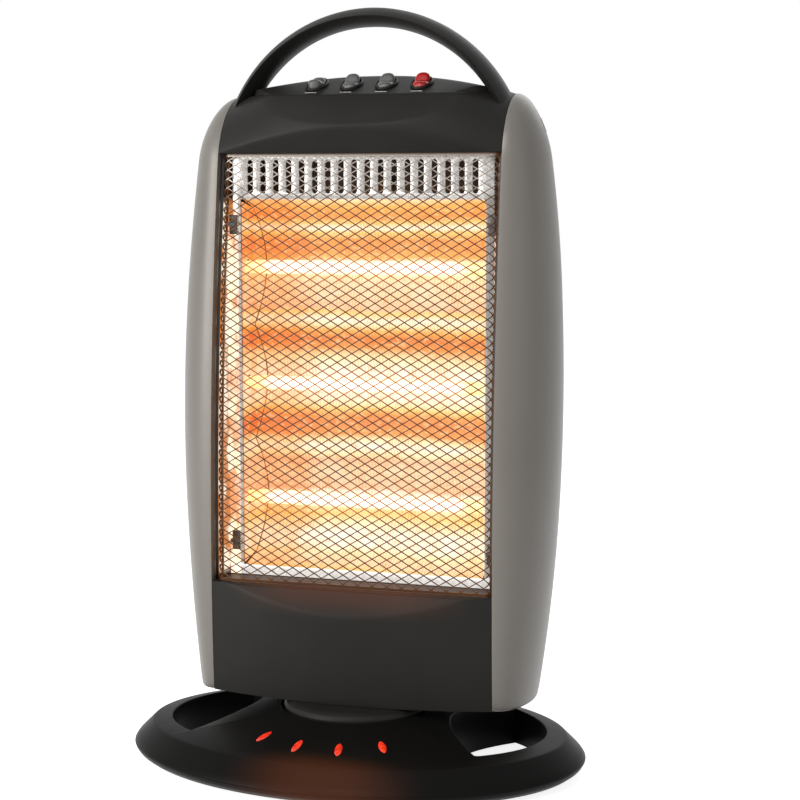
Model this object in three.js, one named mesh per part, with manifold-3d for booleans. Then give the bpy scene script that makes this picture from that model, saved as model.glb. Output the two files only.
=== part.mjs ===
// An upright halogen heater: a tall head with three quartz lamps behind a diamond wire guard, two bulging
// side covers and an arched handle, swivelling on an oval base ring with a tip-over switch underneath.
// Millimetres. X runs to the right as one faces the heater, Y to its rear, Z up.
// The origin is the middle of the footprint, on the floor, and the head swivels about the Z axis.
import * as THREE from "three";
import { mergeVertices } from "three/addons/utils/BufferGeometryUtils.js";
import Module from "manifold-3d";

const wasm = await Module();
wasm.setup();

// Clearances
const gap = 0.3; // between pieces that sit against each other
const runningGap = 0.6; // round a piece that turns or slides

// Base: an oval ring with two half-moon openings and a web that climbs to the swivel ring
const baseHalfWidth = 166;
const baseHalfDepth = 118;
const baseWall = 2.6;
const footHeight = 2.6;
const beltHeight = 10; // height of the base's widest line
const bottomInset = 7; // how far the base tucks in below that line
const facetInset = 14; // from the widest line in to the facet line on top
const facetHeight = 25;
const rimWidth = 28; // from the widest line in to the openings
const webHalfWidth = 72; // half the web's width beside the swivel ring
const openingTipAngle = 41.7; // degrees of the inner ellipse at an opening's pointed ends
const ringRadius = 58;
const ringTop = 41;
const recessRadius = 54;
const recessFloor = 36;
const floorThickness = 3;
const footRadius = 9;
const footX = baseHalfWidth - 74;
const footY = baseHalfDepth - 46;
const stemRadius = 2.8;
const stemReach = 6; // how far a foot's stem goes up into its boss
const plateThickness = 2;
const lensLength = 15;
const lensWidth = 5.4;
const lensRise = 0.6; // the inserts stand this far out of the web
const lensRadiusOut = (ringRadius + baseHalfDepth - 5) / 2; // from the swivel axis to the red inserts
const lensAngles = [-30, -10, 10, 30]; // degrees either side of the front
const tipSwitchY = 38 - baseHalfDepth;
const plungerRadius = 2.8;
const plungerTravel = 6;
const glandHeight = 11;
const glandRadius = 4.2;

// Swivel and the crank that swings the head
const discRadius = 52;
const discTop = 46;
const discWall = 2.5;
const pivotRadius = 7;
const pivotBore = 5;
const motorShaftY = 27; // the motor's shaft behind the swivel axis
const crankThrow = 17.5; // from the motor's shaft to the crank pin
const crankPinRadius = 2.5;
const crankThickness = 3;
const crankSideGap = 1; // the crank pin's play in its track
const motorRadius = 23;
const motorHeight = 19;
const motorOffset = 12; // from the motor's shaft to the middle of its case

// Head
const headBottom = 46.3;
const coverInner = 104; // the side covers' inner face, from the middle
const coverTop = 474;
const coverWall = 2.5;
const roundStart = 428; // where the covers begin to round in towards their top
const frontLean = 0.00026; // curvature of the front edge, seen from the side
const frontMostY = -18;
const frontMostZ = 150;
const rearMostY = 86;
const coverBulge = 36.2;
const bulgeHeight = 257; // where the covers bulge most
const bulgeFall = 0.00035;
const screwY = 51;
const screwZ = 452;
const recessBore = 4;
const panelWall = 3;
const panelBulge = 15; // how far the black front panels stand forward in the middle
const guardBottom = 127;
const guardTop = 432;
const guardInset = 4.5; // the guard lies this far behind the covers' front edges
const guardWire = 1.3;
const guardPitchX = 46;
const guardPitchZ = 26.6;
const guardReturn = 9; // how far the guard folds back at its sides
const guardFoldRadius = 4;
const chassisOut = coverInner - 2 * gap; // the chassis' side walls stand against the covers
const chassisWall = 2;
const chassisBackY = rearMostY - 22;
const panelRearEdge = 10; // where the lower front panel's sides end, in front of the chassis
const panelHighY = -22; // the lower panel's top edge, in the middle
const panelLowZ = 110.6; // height at which its crescent meets its face, in the middle
const wireHoleRadius = 22; // for the motor's wires, in the chassis' rear
const topDrawBack = 40; // how far the front edges run back over the top's rounding
const rearDrawIn = 14; // how far the rear edges run forward over it
const screwSeat = 12; // depth of the covers' screw seats, from their inner face

// Reflector and lamps
const frameY = 12; // the bright frame's front face
const sheet = 1.2;
const openingHalf = 91; // half the width of the glowing opening
const openingBottom = 134;
const openingTop = 400;
const lampPitch = 84;
const middleLamp = 267.5;
const lampY = 22;
const lampRadius = 5;
const lampGlass = 1;
const filamentRadius = 1.3;
const ridgeY = 30;
const troughY = 50;
const flare = 4; // how far the reflector's ends lean in towards the rear
const ventCount = 18;
const ventPitch = 9.8;
const ventWidth = 4.2;
const ventLength = 24;
const frameNotchZ = 384; // above this height the guard's folded sides pass beside the frame
const bracketX = 96;
const bracketZ = [152, 382];

// Control housing, handle and switches
const housingBottom = guardTop + gap;
const waistZ = 450.8; // where the lower and the upper facet meet, in the middle
const waistY = -10.6;
const deckFrontY = 14;
const deckFrontZ = 473.4;
const deckRearY = 50;
const crownTop = 488.6;
const crownFall = 0.0014;
const handleTop = 535;
const handleRadius = 115; // of the arch's outer edge
const handleY = 38;
const handleThick = 13.5;
const handleDepth = 34;
const switchPitch = 26;
const switchAlongDeck = 19; // from the deck's front edge up to the switches' middle
const switchCount = 4;
const rockerTilt = 12; // degrees either way
const rockerHalf = [5.5, 9.4];
const bezelHalf = [8, 12];
const switchDepth = 14;

const radians = THREE.MathUtils.degToRad;
const deckSlope = Math.atan2(crownTop - deckFrontZ, deckRearY - deckFrontY);

// ---------------------------------------------------------------- solids

// A three.js geometry as a solid that can be joined and cut.
function solid(geometry) {
  const bare = new THREE.BufferGeometry();
  bare.setAttribute("position", geometry.getAttribute("position"));
  bare.setIndex(geometry.index);
  const merged = mergeVertices(bare, 1e-4);
  const vertProperties = merged.attributes.position.array;
  const triVerts = new Uint32Array(merged.index.array);
  return new wasm.Manifold(new wasm.Mesh({ numProp: 3, vertProperties, triVerts }));
}

// A solid as a three.js geometry with flat faces.
function geometryOf(body) {
  const mesh = body.getMesh();
  const geometry = new THREE.BufferGeometry();
  geometry.setAttribute("position", new THREE.BufferAttribute(mesh.vertProperties, mesh.numProp));
  geometry.setIndex(new THREE.BufferAttribute(mesh.triVerts, 1));
  const flat = geometry.toNonIndexed();
  flat.computeVertexNormals();
  return flat;
}

// Rings of equally many points, each counter-clockwise seen from above, joined into one closed skin.
function loft(rings) {
  const count = rings[0].length;
  const faces = [];
  for (let level = 0; level + 1 < rings.length; level++) {
    for (let i = 0; i < count; i++) {
      const next = (i + 1) % count;
      const [a, b] = [level * count + i, level * count + next];
      faces.push(a, b, b + count, a, b + count, a + count);
    }
  }
  addCap(faces, rings[0], 0, true);
  addCap(faces, rings.at(-1), (rings.length - 1) * count, false);
  const geometry = new THREE.BufferGeometry();
  geometry.setAttribute("position", new THREE.Float32BufferAttribute(rings.flat(2), 3));
  geometry.setIndex(faces);
  return geometry;
}

// Closes one level end of a loft.
function addCap(faces, ring, first, facesDown) {
  const flat = ring.map(([x, y]) => new THREE.Vector2(x, y));
  for (const [a, b, c] of THREE.ShapeUtils.triangulateShape(flat, [])) {
    const corners = facesDown ? [c, b, a] : [a, b, c];
    faces.push(...corners.map((corner) => first + corner));
  }
}

// A flat outline pushed straight up from z0 to z1.
function prism(outline, z0, z1) {
  const shape = outline.isShape ? outline : new THREE.Shape(outline.map(([x, y]) => new THREE.Vector2(x, y)));
  const options = { depth: z1 - z0, bevelEnabled: false, curveSegments: 8 };
  return new THREE.ExtrudeGeometry(shape, options).translate(0, 0, z0);
}

// An outline drawn in (y, z) and pushed along X from x0 to x1.
function sidePrism(outline, x0, x1) {
  const turn = new THREE.Matrix4().makeBasis(
    new THREE.Vector3(0, 1, 0),
    new THREE.Vector3(0, 0, 1),
    new THREE.Vector3(1, 0, 0),
  );
  return prism(outline, x0, x1).applyMatrix4(turn);
}

function block(x0, x1, y0, y1, z0, z1) {
  const geometry = new THREE.BoxGeometry(x1 - x0, y1 - y0, z1 - z0);
  return geometry.translate((x0 + x1) / 2, (y0 + y1) / 2, (z0 + z1) / 2);
}

// An upright round post, and the same lying along Y or X.
function post(radius, x, y, z0, z1, sides = 14) {
  const geometry = new THREE.CylinderGeometry(radius, radius, z1 - z0, sides);
  return geometry.rotateX(Math.PI / 2).translate(x, y, (z0 + z1) / 2);
}

function postAlongY(radius, x, z, y0, y1, sides = 14) {
  const geometry = new THREE.CylinderGeometry(radius, radius, y1 - y0, sides);
  return geometry.translate(x, (y0 + y1) / 2, z);
}

function postAlongX(radius, y, z, x0, x1, sides = 14) {
  const geometry = new THREE.CylinderGeometry(radius, radius, x1 - x0, sides);
  return geometry.rotateZ(Math.PI / 2).translate((x0 + x1) / 2, y, z);
}

const join = (...geometries) => geometries.map(asSolid).reduce((all, next) => all.add(next));
const cut = (body, ...tools) => tools.map(asSolid).reduce((all, next) => all.subtract(next), asSolid(body));
const common = (...geometries) => geometries.map(asSolid).reduce((all, next) => all.intersect(next));
const asSolid = (form) => (form.isBufferGeometry ? solid(form) : form);
const mirrorX = (form) => asSolid(form).mirror([1, 0, 0]);

// Evenly spaced values from a to b, both included.
const spread = (a, b, steps) => Array.from({ length: steps + 1 }, (_, i) => a + ((b - a) * i) / steps);

// An ellipse's points from one angle to another, in radians.
function arc(halfX, halfY, from, to, steps) {
  return spread(from, to, steps).map((t) => [halfX * Math.cos(t), halfY * Math.sin(t)]);
}

const ellipse = (halfX, halfY, sides) => arc(halfX, halfY, 0, 2 * Math.PI, sides).slice(0, -1);

// ---------------------------------------------------------------- materials

const finish = (color, roughness, metalness = 0, extra = {}) => ({ color, roughness, metalness, ...extra });
const blackPlastic = finish(0x2b2a29, 0.5);
const greyCover = finish(0x8f8a84, 0.42, 0.25);
const greyRocker = finish(0x6f6f6d, 0.4);
const redPlastic = finish(0xb3201a, 0.35);
const redLens = finish(0xe03018, 0.3, 0, { emissive: 0x801004 });
const brightSheet = finish(0xd9d9d6, 0.22, 1);
const blackWire = finish(0x3a342e, 0.4, 0.8);
const steel = finish(0xa8abad, 0.35, 0.9);
const ceramic = finish(0xe6e0d4, 0.6);
const quartz = finish(0xfff2dd, 0.1, 0, { emissive: 0xffc27a, transparent: true, opacity: 0.5 });
const tungsten = finish(0xfff0c8, 0.4, 0.5, { emissive: 0xffe0a0 });
const rubber = finish(0x1c1c1c, 0.85);
const brownPhenolic = finish(0x3a2a20, 0.55);

const heater = new THREE.Group();
const base = new THREE.Group();
const head = new THREE.Group();
heater.add(base, head);

// Adds a named piece to a group.
function piece(group, name, form, look) {
  const geometry = form.isBufferGeometry ? form : geometryOf(form);
  const mesh = new THREE.Mesh(geometry, new THREE.MeshStandardMaterial(look));
  mesh.name = name;
  group.add(mesh);
  return mesh;
}

// ---------------------------------------------------------------- base

const baseSides = 56;
const innerSides = 32; // faces round a hidden inner surface
const lift = (points, z) => points.map(([x, y]) => [x, y, z]);
const baseOval = (inset, z, sides = baseSides) =>
  lift(ellipse(baseHalfWidth - inset, baseHalfDepth - inset, sides), z);

// One half-moon opening on the +X side, grown outwards by a margin. Its inner edge bows in to the web.
function openingOutline(margin) {
  const halfX = baseHalfWidth - rimWidth + margin;
  const halfY = baseHalfDepth - rimWidth + margin;
  const tip = radians(openingTipAngle + margin);
  const outer = arc(halfX, halfY, -tip, tip, 12);
  const [tipX, tipY] = outer.at(-1);
  const waist = webHalfWidth - margin;
  const webEdge = spread(tipY, -tipY, 8).map((y) => [waist + (tipX - waist) * (y / tipY) ** 2, y]);
  return [...outer, ...webEdge.slice(1, -1)];
}

function openingTools(margin) {
  const right = solid(prism(openingOutline(margin), -10, ringTop + 10));
  return [right, mirrorX(right)];
}

// Height of the web's outer surface at a distance from the swivel axis, in a direction from the front.
// It is ruled from the facet line's ellipse to the ring; the place along a ruling is found by halving.
function webHeight(distance, angle) {
  const [x, y] = [distance * Math.sin(angle), distance * Math.cos(angle)];
  const [farX, farY] = [baseHalfWidth - facetInset, baseHalfDepth - facetInset];
  let [outer, inner] = [0, 1];
  for (let i = 0; i < 30; i++) {
    const along = (outer + inner) / 2;
    const halfX = farX + (ringRadius - farX) * along;
    const halfY = farY + (ringRadius - farY) * along;
    if (Math.hypot(x / halfX, y / halfY) < 1) outer = along;
    else inner = along;
  }
  return facetHeight + (ringTop - facetHeight) * outer;
}

// A thin almond-shaped insert lying on the web, and the same shape grown as its slot.
function lensSolid(angle, margin, below, above) {
  const outline = ellipse(lensWidth / 2 + margin, lensLength / 2 + margin, 12);
  const turn = radians(angle);
  const ends = [-1, 1].map((side) => webHeight(lensRadiusOut + (side * lensLength) / 2, turn));
  const slope = Math.atan2(ends[0] - ends[1], lensLength);
  const geometry = prism(outline, -below, above).rotateX(slope);
  return geometry.translate(0, -lensRadiusOut, (ends[0] + ends[1]) / 2).rotateZ(turn);
}

const footPlaces = [
  ["front_left", -footX, -footY],
  ["front_right", footX, -footY],
  ["rear_left", -footX, footY],
  ["rear_right", footX, footY],
];

const pinTrackOuter = motorShaftY + crankThrow + crankPinRadius + crankSideGap;
const pinTrackInner = motorShaftY - crankPinRadius - crankSideGap;

// A straight slot with round ends along Y, as a tool.
function slotAlongY(halfWidth, yStart, yEnd, z0, z1) {
  const middle = block(-halfWidth, halfWidth, yStart + halfWidth, yEnd - halfWidth, z0, z1);
  const ends = [yStart + halfWidth, yEnd - halfWidth].map((y) => post(halfWidth, 0, y, z0, z1, 16));
  return join(middle, ...ends);
}

function baseShell() {
  const outside = loft([
    baseOval(bottomInset, footHeight),
    baseOval(bottomInset / 3, beltHeight - 4),
    baseOval(0, beltHeight),
    baseOval(facetInset / 5, beltHeight + 4),
    baseOval(facetInset, facetHeight),
    lift(ellipse(ringRadius, ringRadius, baseSides), ringTop),
  ]);
  const ceiling = recessFloor - floorThickness;
  const inside = loft([
    baseOval(bottomInset + baseWall, footHeight - 1, innerSides),
    baseOval(baseWall + 0.7, beltHeight, innerSides),
    baseOval(facetInset + baseWall, facetHeight - baseWall, innerSides),
    lift(ellipse(ringRadius + 5 * baseWall, ringRadius + 5 * baseWall, innerSides), ceiling),
  ]);
  const hollow = cut(inside, ...openingTools(baseWall));
  const plateTop = footHeight + plateThickness;
  const bosses = footPlaces.map(([, x, y]) =>
    common(outside, post(stemRadius + baseWall, x, y, plateTop + gap, ringTop)),
  );
  const bores = footPlaces.map(([, x, y]) => post(stemRadius + gap, x, y, 0, plateTop + stemReach + gap));
  const shell = join(cut(outside, hollow), ...bosses);
  const trackHalf = crankPinRadius + 2 * crankSideGap;
  return cut(
    shell,
    ...openingTools(0),
    ...bores,
    post(recessRadius, 0, 0, recessFloor, ringTop + 5, 40),
    post(pivotRadius + runningGap, 0, 0, 0, ringTop, 20),
    slotAlongY(trackHalf, pinTrackInner - 1, pinTrackOuter + 1, ceiling - 5, ringTop),
    postAlongY(glandRadius + gap, 0, glandHeight, baseHalfDepth - 20, baseHalfDepth + 5),
    ...lensAngles.map((angle) => lensSolid(angle, gap, 12, 12)),
  );
}

function baseUnderplate() {
  const inset = bottomInset + baseWall + 2 * gap;
  const outline = ellipse(baseHalfWidth - inset, baseHalfDepth - inset, innerSides);
  const plate = prism(outline, footHeight, footHeight + plateThickness);
  const holes = footPlaces.map(([, x, y]) => post(stemRadius + gap, x, y, 0, 20));
  const plungerHole = post(plungerRadius + runningGap, 0, tipSwitchY, 0, 20);
  return cut(plate, ...openingTools(baseWall + gap), ...holes, plungerHole);
}

// A rubber foot whose stem goes up through the underplate into a boss of the shell.
function foot() {
  const top = footHeight - gap;
  const stemTop = footHeight + plateThickness + stemReach;
  const profile = [
    [0, 0],
    [footRadius - 1, 0],
    [footRadius, 1],
    [footRadius, top],
    [stemRadius, top],
    [stemRadius, stemTop],
    [0, stemTop],
  ];
  return lathe(profile, 14);
}

// A turned form; its profile runs in (radius, height) from the axis back to the axis, or closes on itself.
function lathe(profile, sides) {
  const points = profile.map(([r, z]) => new THREE.Vector2(r, z));
  return new THREE.LatheGeometry(points, sides).rotateX(Math.PI / 2);
}

function crankTrack() {
  const top = recessFloor - floorThickness - gap;
  const plate = block(-9, 9, pinTrackInner - 4, pinTrackOuter + 4, top - 1.6, top);
  return cut(plate, slotAlongY(crankPinRadius + crankSideGap, pinTrackInner, pinTrackOuter, 0, ringTop));
}

const switchSeat = footHeight + plateThickness + gap;

function tipSwitchBody() {
  const body = block(-11, 11, tipSwitchY - 6, tipSwitchY + 6, switchSeat, switchSeat + 14);
  return cut(body, post(plungerRadius + gap, 0, tipSwitchY, 0, switchSeat + 12));
}

function tipPlunger() {
  return post(plungerRadius, 0, tipSwitchY, gap, switchSeat + plungerTravel + 3);
}

function cordGland() {
  const end = baseHalfDepth - 0.6;
  const flangeFront = baseHalfDepth - 13.5;
  const body = join(
    postAlongY(glandRadius, 0, glandHeight, flangeFront, end),
    postAlongY(glandRadius + 1.4, 0, glandHeight, flangeFront, flangeFront + 2),
  );
  return cut(body, postAlongY(2.6, 0, glandHeight, flangeFront - 5, end + 5, 16));
}

function buildBase() {
  piece(base, "base_shell", baseShell(), blackPlastic);
  piece(base, "base_underplate", baseUnderplate(), blackPlastic);
  for (const [place, x, y] of footPlaces) {
    piece(base, "foot_" + place, foot(), rubber).position.set(x, y, 0);
  }
  lensAngles.forEach((angle, i) => {
    piece(base, "slot_insert_" + (i + 1), lensSolid(angle, 0, 2, lensRise), redLens);
  });
  piece(base, "crank_track", crankTrack(), steel);
  piece(base, "tip_switch_body", tipSwitchBody(), brownPhenolic);
  piece(base, "tip_switch_plunger", tipPlunger(), redPlastic);
  piece(base, "cord_gland", cordGland(), rubber);
}

// ---------------------------------------------------------------- swivel

function swivelDisc() {
  const rimBottom = recessFloor + gap;
  const cavityTop = discTop - discWall - gap;
  const tubeBottom = recessFloor - floorThickness - 5;
  const disc = lathe(
    [
      [pivotBore, tubeBottom],
      [pivotRadius, tubeBottom],
      [pivotRadius, cavityTop],
      [discRadius - discWall, cavityTop],
      [discRadius - discWall, rimBottom],
      [discRadius, rimBottom],
      [discRadius, ringTop + 0.5],
      [discRadius - 1.5, discTop - 1.8],
      [discRadius - 5, discTop],
      [pivotBore, discTop],
      [pivotBore, tubeBottom],
    ],
    36,
  );
  return cut(disc, post(crankPinRadius + runningGap, 0, motorShaftY, cavityTop - 2, discTop + 2));
}

function swivelRetainer() {
  const top = recessFloor - floorThickness - gap;
  const washer = post(2 * pivotRadius, 0, 0, top - 2.5, top, 20);
  return cut(washer, post(pivotRadius + runningGap, 0, 0, 0, ringTop, 20));
}

// The crank turns inside the disc: a shaft up into the motor, an arm and a pin down into the base's track.
function motorCrank() {
  const armBottom = recessFloor + 2.5;
  const armTop = armBottom + crankThickness;
  const armHalf = crankPinRadius + 1.5;
  const pinY = motorShaftY + crankThrow;
  const pinBottom = recessFloor - floorThickness - 3;
  return join(
    post(crankPinRadius, 0, motorShaftY, armBottom, headBottom + 9),
    block(-armHalf, armHalf, motorShaftY, pinY, armBottom, armTop),
    post(armHalf, 0, motorShaftY, armBottom, armTop),
    post(armHalf, 0, pinY, armBottom, armTop),
    post(crankPinRadius, 0, pinY, pinBottom, armTop),
  );
}

function swingMotor(floorTop) {
  const bottom = floorTop + gap;
  const motorY = motorShaftY + motorOffset;
  const [earReach, earHalf, earTop] = [6, 5, bottom + 2];
  const ears = [-motorRadius, motorRadius].map((x) =>
    block(x - earReach, x + earReach, motorY - earHalf, motorY + earHalf, bottom, earTop),
  );
  const body = join(post(motorRadius, 0, motorY, bottom, bottom + motorHeight, 28), ...ears);
  return cut(body, post(crankPinRadius + runningGap, 0, motorShaftY, 0, bottom + 8));
}

// ---------------------------------------------------------------- the head's outer form

// How far the covers' top rounding has drawn in, from 0 below it to 1 at the top.
function rounding(z) {
  const along = THREE.MathUtils.clamp((z - roundStart) / (coverTop - roundStart), 0, 1);
  return 1 - Math.sqrt(1 - along * along);
}

const plainFront = (z) => frontMostY + frontLean * (z - frontMostZ) ** 2;
const frontLine = (z) => plainFront(z) + topDrawBack * rounding(z);
const bulge = (z) => (coverBulge - bulgeFall * (z - bulgeHeight) ** 2) * (1 - rounding(z));

function rearLine(z) {
  const low = 0.0008 * Math.max(0, 180 - z) ** 2;
  const high = 0.0012 * Math.max(0, Math.min(z, coverTop) - 345) ** 2;
  return rearMostY - low - high - 14 * rounding(z);
}

// The black front panels' surface: convex across the width, and drawn back at the top beside the handle.
function panelFront(x, z) {
  const across = Math.min(1, (x / coverInner) ** 2);
  return plainFront(z) + 40 * rounding(z) * across ** 1.2 - panelBulge * (1 - across);
}

function panelRear(x, z) {
  return rearLine(z) - 1 + 5 * (1 - (x / coverInner) ** 2);
}

// The space between the covers, from the front panels' surface to the rear one, drawn in by an inset.
function bodySection(z, inset, sides) {
  const half = coverInner - 1.3 * gap - inset;
  const front = spread(-half, half, sides).map((x) => [x, panelFront(x, z) + inset]);
  const rear = spread(half, -half, 6).map((x) => [x, panelRear(x, z) - inset]);
  const frontMost = rear[0][1] - 1;
  return lift([...front.map(([x, y]) => [x, Math.min(y, frontMost)]), ...rear], z);
}

const bodyLoft = (zStart, zEnd, steps, inset, sides) =>
  loft(spread(zStart, zEnd, steps).map((z) => bodySection(z, inset, sides)));

// One cover's section: from its front edge round the bulge to its rear edge, and straight back inside.
function coverSection(z, inset, innerX, shiftZ, sides) {
  const front = frontLine(z + shiftZ) + inset;
  const rear = rearLine(z + shiftZ) - inset;
  const out = Math.max(0.4, bulge(z + shiftZ) - inset);
  const [middle, half] = [(front + rear) / 2, Math.max(0.6, (rear - front) / 2)];
  const round = spread(0, Math.PI, sides).map((t) => [
    coverInner + out * Math.sin(t),
    middle - half * Math.cos(t),
  ]);
  const [first, last] = [round[0], round.at(-1)];
  return lift([[innerX, first[1]], ...round, [innerX, last[1]]], z);
}

// The levels are closer together where the cover rounds in.
const coverLevels = (bottom, top, low, high) => [
  ...spread(bottom, roundStart, low),
  ...spread(0, 1, high).slice(1).map((t) => roundStart + (top - roundStart) * Math.sin((t * Math.PI) / 2)),
];

function sideCover() {
  const skinX = coverInner - 0.01;
  const levels = coverLevels(headBottom, coverTop - 0.3, 8, 6);
  const outside = loft(levels.map((z) => coverSection(z, 0, skinX, 0, 14)));
  const innerLevels = coverLevels(headBottom + coverWall, coverTop - coverWall - 2, 6, 4);
  const inside = loft(innerLevels.map((z) => coverSection(z, coverWall, coverInner - 5, coverWall, 9)));
  const boss = common(outside, postAlongX(recessBore + coverWall, screwY, screwZ, coverInner + gap, coverInner + 60));
  const shell = join(cut(outside, inside), boss);
  return cut(
    shell,
    postAlongX(recessBore, screwY, screwZ, coverInner + 12, coverInner + 60),
    postAlongX(1.9, screwY, screwZ, coverInner - 5, coverInner + 60, 12),
  );
}

function coverScrew() {
  const seat = coverInner + 12 + gap;
  return join(
    postAlongX(3.4, screwY, screwZ, seat, seat + 2.4, 16),
    postAlongX(1.6, screwY, screwZ, coverInner - 0.1, seat, 12),
  );
}

function lowerFrontPanel() {
  const top = guardBottom - gap;
  const chamferLow = [panelFront(0, panelLowZ), panelLowZ];
  const chamferHigh = [panelHighY, top];
  const rearEdge = 10;
  const profile = (inset, back) => [
    [back, headBottom - inset * 2],
    [back, top - inset],
    [chamferHigh[0] + inset / 2, top - inset],
    [chamferLow[0] + inset / 2, chamferLow[1] - inset],
    [2 * chamferLow[0] - chamferHigh[0], 2 * chamferLow[1] - chamferHigh[1] - inset],
    [2 * chamferLow[0] - chamferHigh[0], headBottom - inset * 2],
  ];
  const wide = coverInner + 10;
  const outside = common(bodyLoft(headBottom, top, 4, 0, 18), sidePrism(profile(0, rearEdge), -wide, wide));
  const inside = common(
    bodyLoft(headBottom - 6, top, 2, panelWall, 10),
    sidePrism(profile(panelWall, rearEdge + 20), -wide, wide),
  );
  return cut(outside, inside);
}

function rearCover() {
  const ring = (z) => {
    const half = coverInner - 1.3 * gap;
    const outer = spread(half, -half, 8).map((x) => [x, panelRear(x, z)]);
    const inner = spread(-half, half, 8).map((x) => [x, panelRear(x, z) - coverWall]);
    return lift([...outer, ...inner], z);
  };
  const skin = loft(spread(headBottom, guardTop - gap, 6).map(ring));
  const louvres = [];
  for (const z of spread(330, 400, 5)) {
    for (const side of [-1, 1]) {
      louvres.push(block(side * 48 - 34, side * 48 + 34, 60, 120, z, z + 5));
    }
  }
  for (const z of spread(70, 112, 3)) louvres.push(block(-40, 40, 60, 120, z, z + 5));
  return cut(skin, ...louvres);
}

function headFloor() {
  const z0 = discTop + gap + 0.3;
  const section = bodySection(z0, panelWall + gap, 10).map(([x, y]) => [x, y]);
  const plate = prism(section, z0, z0 + 2);
  return cut(
    plate,
    post(pivotRadius + gap, 0, 0, 0, 80, 20),
    post(crankPinRadius + runningGap, 0, motorShaftY, 0, 80),
  );
}

// ---------------------------------------------------------------- chassis, guard

function chassis(floorTop) {
  const [bottom, top] = [floorTop + gap, guardTop - gap];
  const behindGuard = guardInset + 2.2;
  const upright = spread(guardBottom + gap, top, 9).map((z) => [frontLine(z) + behindGuard, z]);
  const rearEdge = chassisBackY + chassisWall + 1;
  const frontEdge = panelRearEdge + gap;
  const wallSide = [
    [frontEdge, bottom],
    [frontEdge, guardBottom + gap],
    ...upright,
    [rearEdge, top],
    [rearEdge, bottom],
  ];
  const wall = sidePrism(wallSide, chassisOut - chassisWall, chassisOut);
  const reach = chassisOut - chassisWall / 2;
  const rear = block(-reach, reach, chassisBackY, chassisBackY + chassisWall, bottom + 0.5, top - 0.5);
  const shelfTop = guardBottom - 5;
  const shelf = block(-reach, reach, frameY, chassisBackY + 1, shelfTop - chassisWall, shelfTop);
  const window = postAlongY(wireHoleRadius, 0, (bottom + shelfTop) / 2, frameY, rearMostY, 20);
  return cut(join(wall, mirrorX(wall), rear, shelf), window);
}

// A flat diamond, kept inside the guard's border by moving each corner that lies outside onto the edge.
function clipToBox(points, [u0, u1, v0, v1]) {
  const sides = [
    [0, 1, u0],
    [0, -1, -u1],
    [1, 1, v0],
    [1, -1, -v1],
  ];
  return sides.reduce((outline, [axis, sign, limit]) => clipBySide(outline, axis, sign, limit), points);
}

// Keeps the part of an outline where sign * coordinate is at least the limit.
function clipBySide(outline, axis, sign, limit) {
  return outline.flatMap((point, i) => {
    const next = outline[(i + 1) % outline.length];
    const here = sign * point[axis] - limit;
    const there = sign * next[axis] - limit;
    const kept = here >= 0 ? [point] : [];
    if (here * there < 0) {
      const t = here / (here - there);
      kept.push([point[0] + (next[0] - point[0]) * t, point[1] + (next[1] - point[1]) * t]);
    }
    return kept;
  });
}

function outlineArea(points) {
  return points.reduce((sum, [x, y], i) => {
    const [nextX, nextY] = points[(i + 1) % points.length];
    return sum + (x * nextY - nextX * y) / 2;
  }, 0);
}

// The edge of the flat guard, a little wavy as a cut lattice is, with points where the guard bends and folds.
function guardEdge(foldAt, reach, columns, rows) {
  const wave = 0.2;
  const foldLength = (guardFoldRadius * Math.PI) / 2;
  const folds = [0, 0.5, 1].map((part) => foldAt - guardFoldRadius + foldLength * part);
  const stops = spread(0, columns, columns).map((column) => (column * guardPitchX) / 2);
  const halfAcross = [...stops, ...folds].filter((u) => u < reach - 1).sort((p, q) => p - q);
  const across = [-reach, ...halfAcross.slice(1).map((u) => -u).reverse(), ...halfAcross, reach];
  const heights = spread(guardBottom, guardTop, rows);
  const low = across.map((u, i) => [u, guardBottom + wave * (i % 2)]);
  const high = across.map((u, i) => [u, guardTop - wave * (i % 2)]).reverse();
  const right = heights.slice(1, -1).map((v, i) => [reach - wave * (1 - (i % 2)), v]);
  const left = right.map(([u, v]) => [-u, v]).reverse();
  return [...low, ...right, ...high, ...left];
}

// The guard: a lattice of diamonds, drawn flat, then folded back at its sides and bent to the head's front.
function wireGuard() {
  const foldAt = chassisOut - chassisWall - 2 * gap; // outer face of the folded sides
  const reach = foldAt + guardReturn;
  const border = [-reach + guardWire, reach - guardWire, guardBottom + guardWire, guardTop - guardWire];
  const [halfU, halfV] = [guardPitchX / 2, guardPitchZ / 2];
  const shrink = (guardWire / 2) * Math.hypot(1 / halfU, 1 / halfV);
  const columns = Math.ceil(reach / halfU) + 1;
  const rows = Math.round((guardTop - guardBottom) / halfV);
  const rise = (guardTop - guardBottom) / rows;
  const holes = [];
  for (let row = 0; row <= rows; row++) {
    for (let column = -columns; column <= columns; column++) {
      if ((row + column) % 2 !== 0) continue;
      const [u, v] = [column * halfU, guardBottom + row * rise];
      const [wide, high] = [halfU * (1 - shrink), rise * (1 - shrink)];
      const diamond = [[u + wide, v], [u, v + high], [u - wide, v], [u, v - high]];
      const hole = clipToBox(diamond, border);
      if (hole.length > 2 && outlineArea(hole) > 6) holes.push(solid(prism(hole, -5, guardWire + 5)));
    }
  }
  const plate = solid(prism(guardEdge(foldAt, reach, columns, rows), 0, guardWire));
  const flat = plate.subtract(wasm.Manifold.union(holes)).getMesh();
  const place = new THREE.BufferAttribute(flat.vertProperties, flat.numProp);
  for (let i = 0; i < place.count; i++) {
    place.setXYZ(i, ...foldGuard(place.getX(i), place.getY(i), place.getZ(i), foldAt));
  }
  const geometry = new THREE.BufferGeometry().setAttribute("position", place);
  geometry.setIndex(new THREE.BufferAttribute(flat.triVerts, 1));
  return geometry;
}

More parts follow.
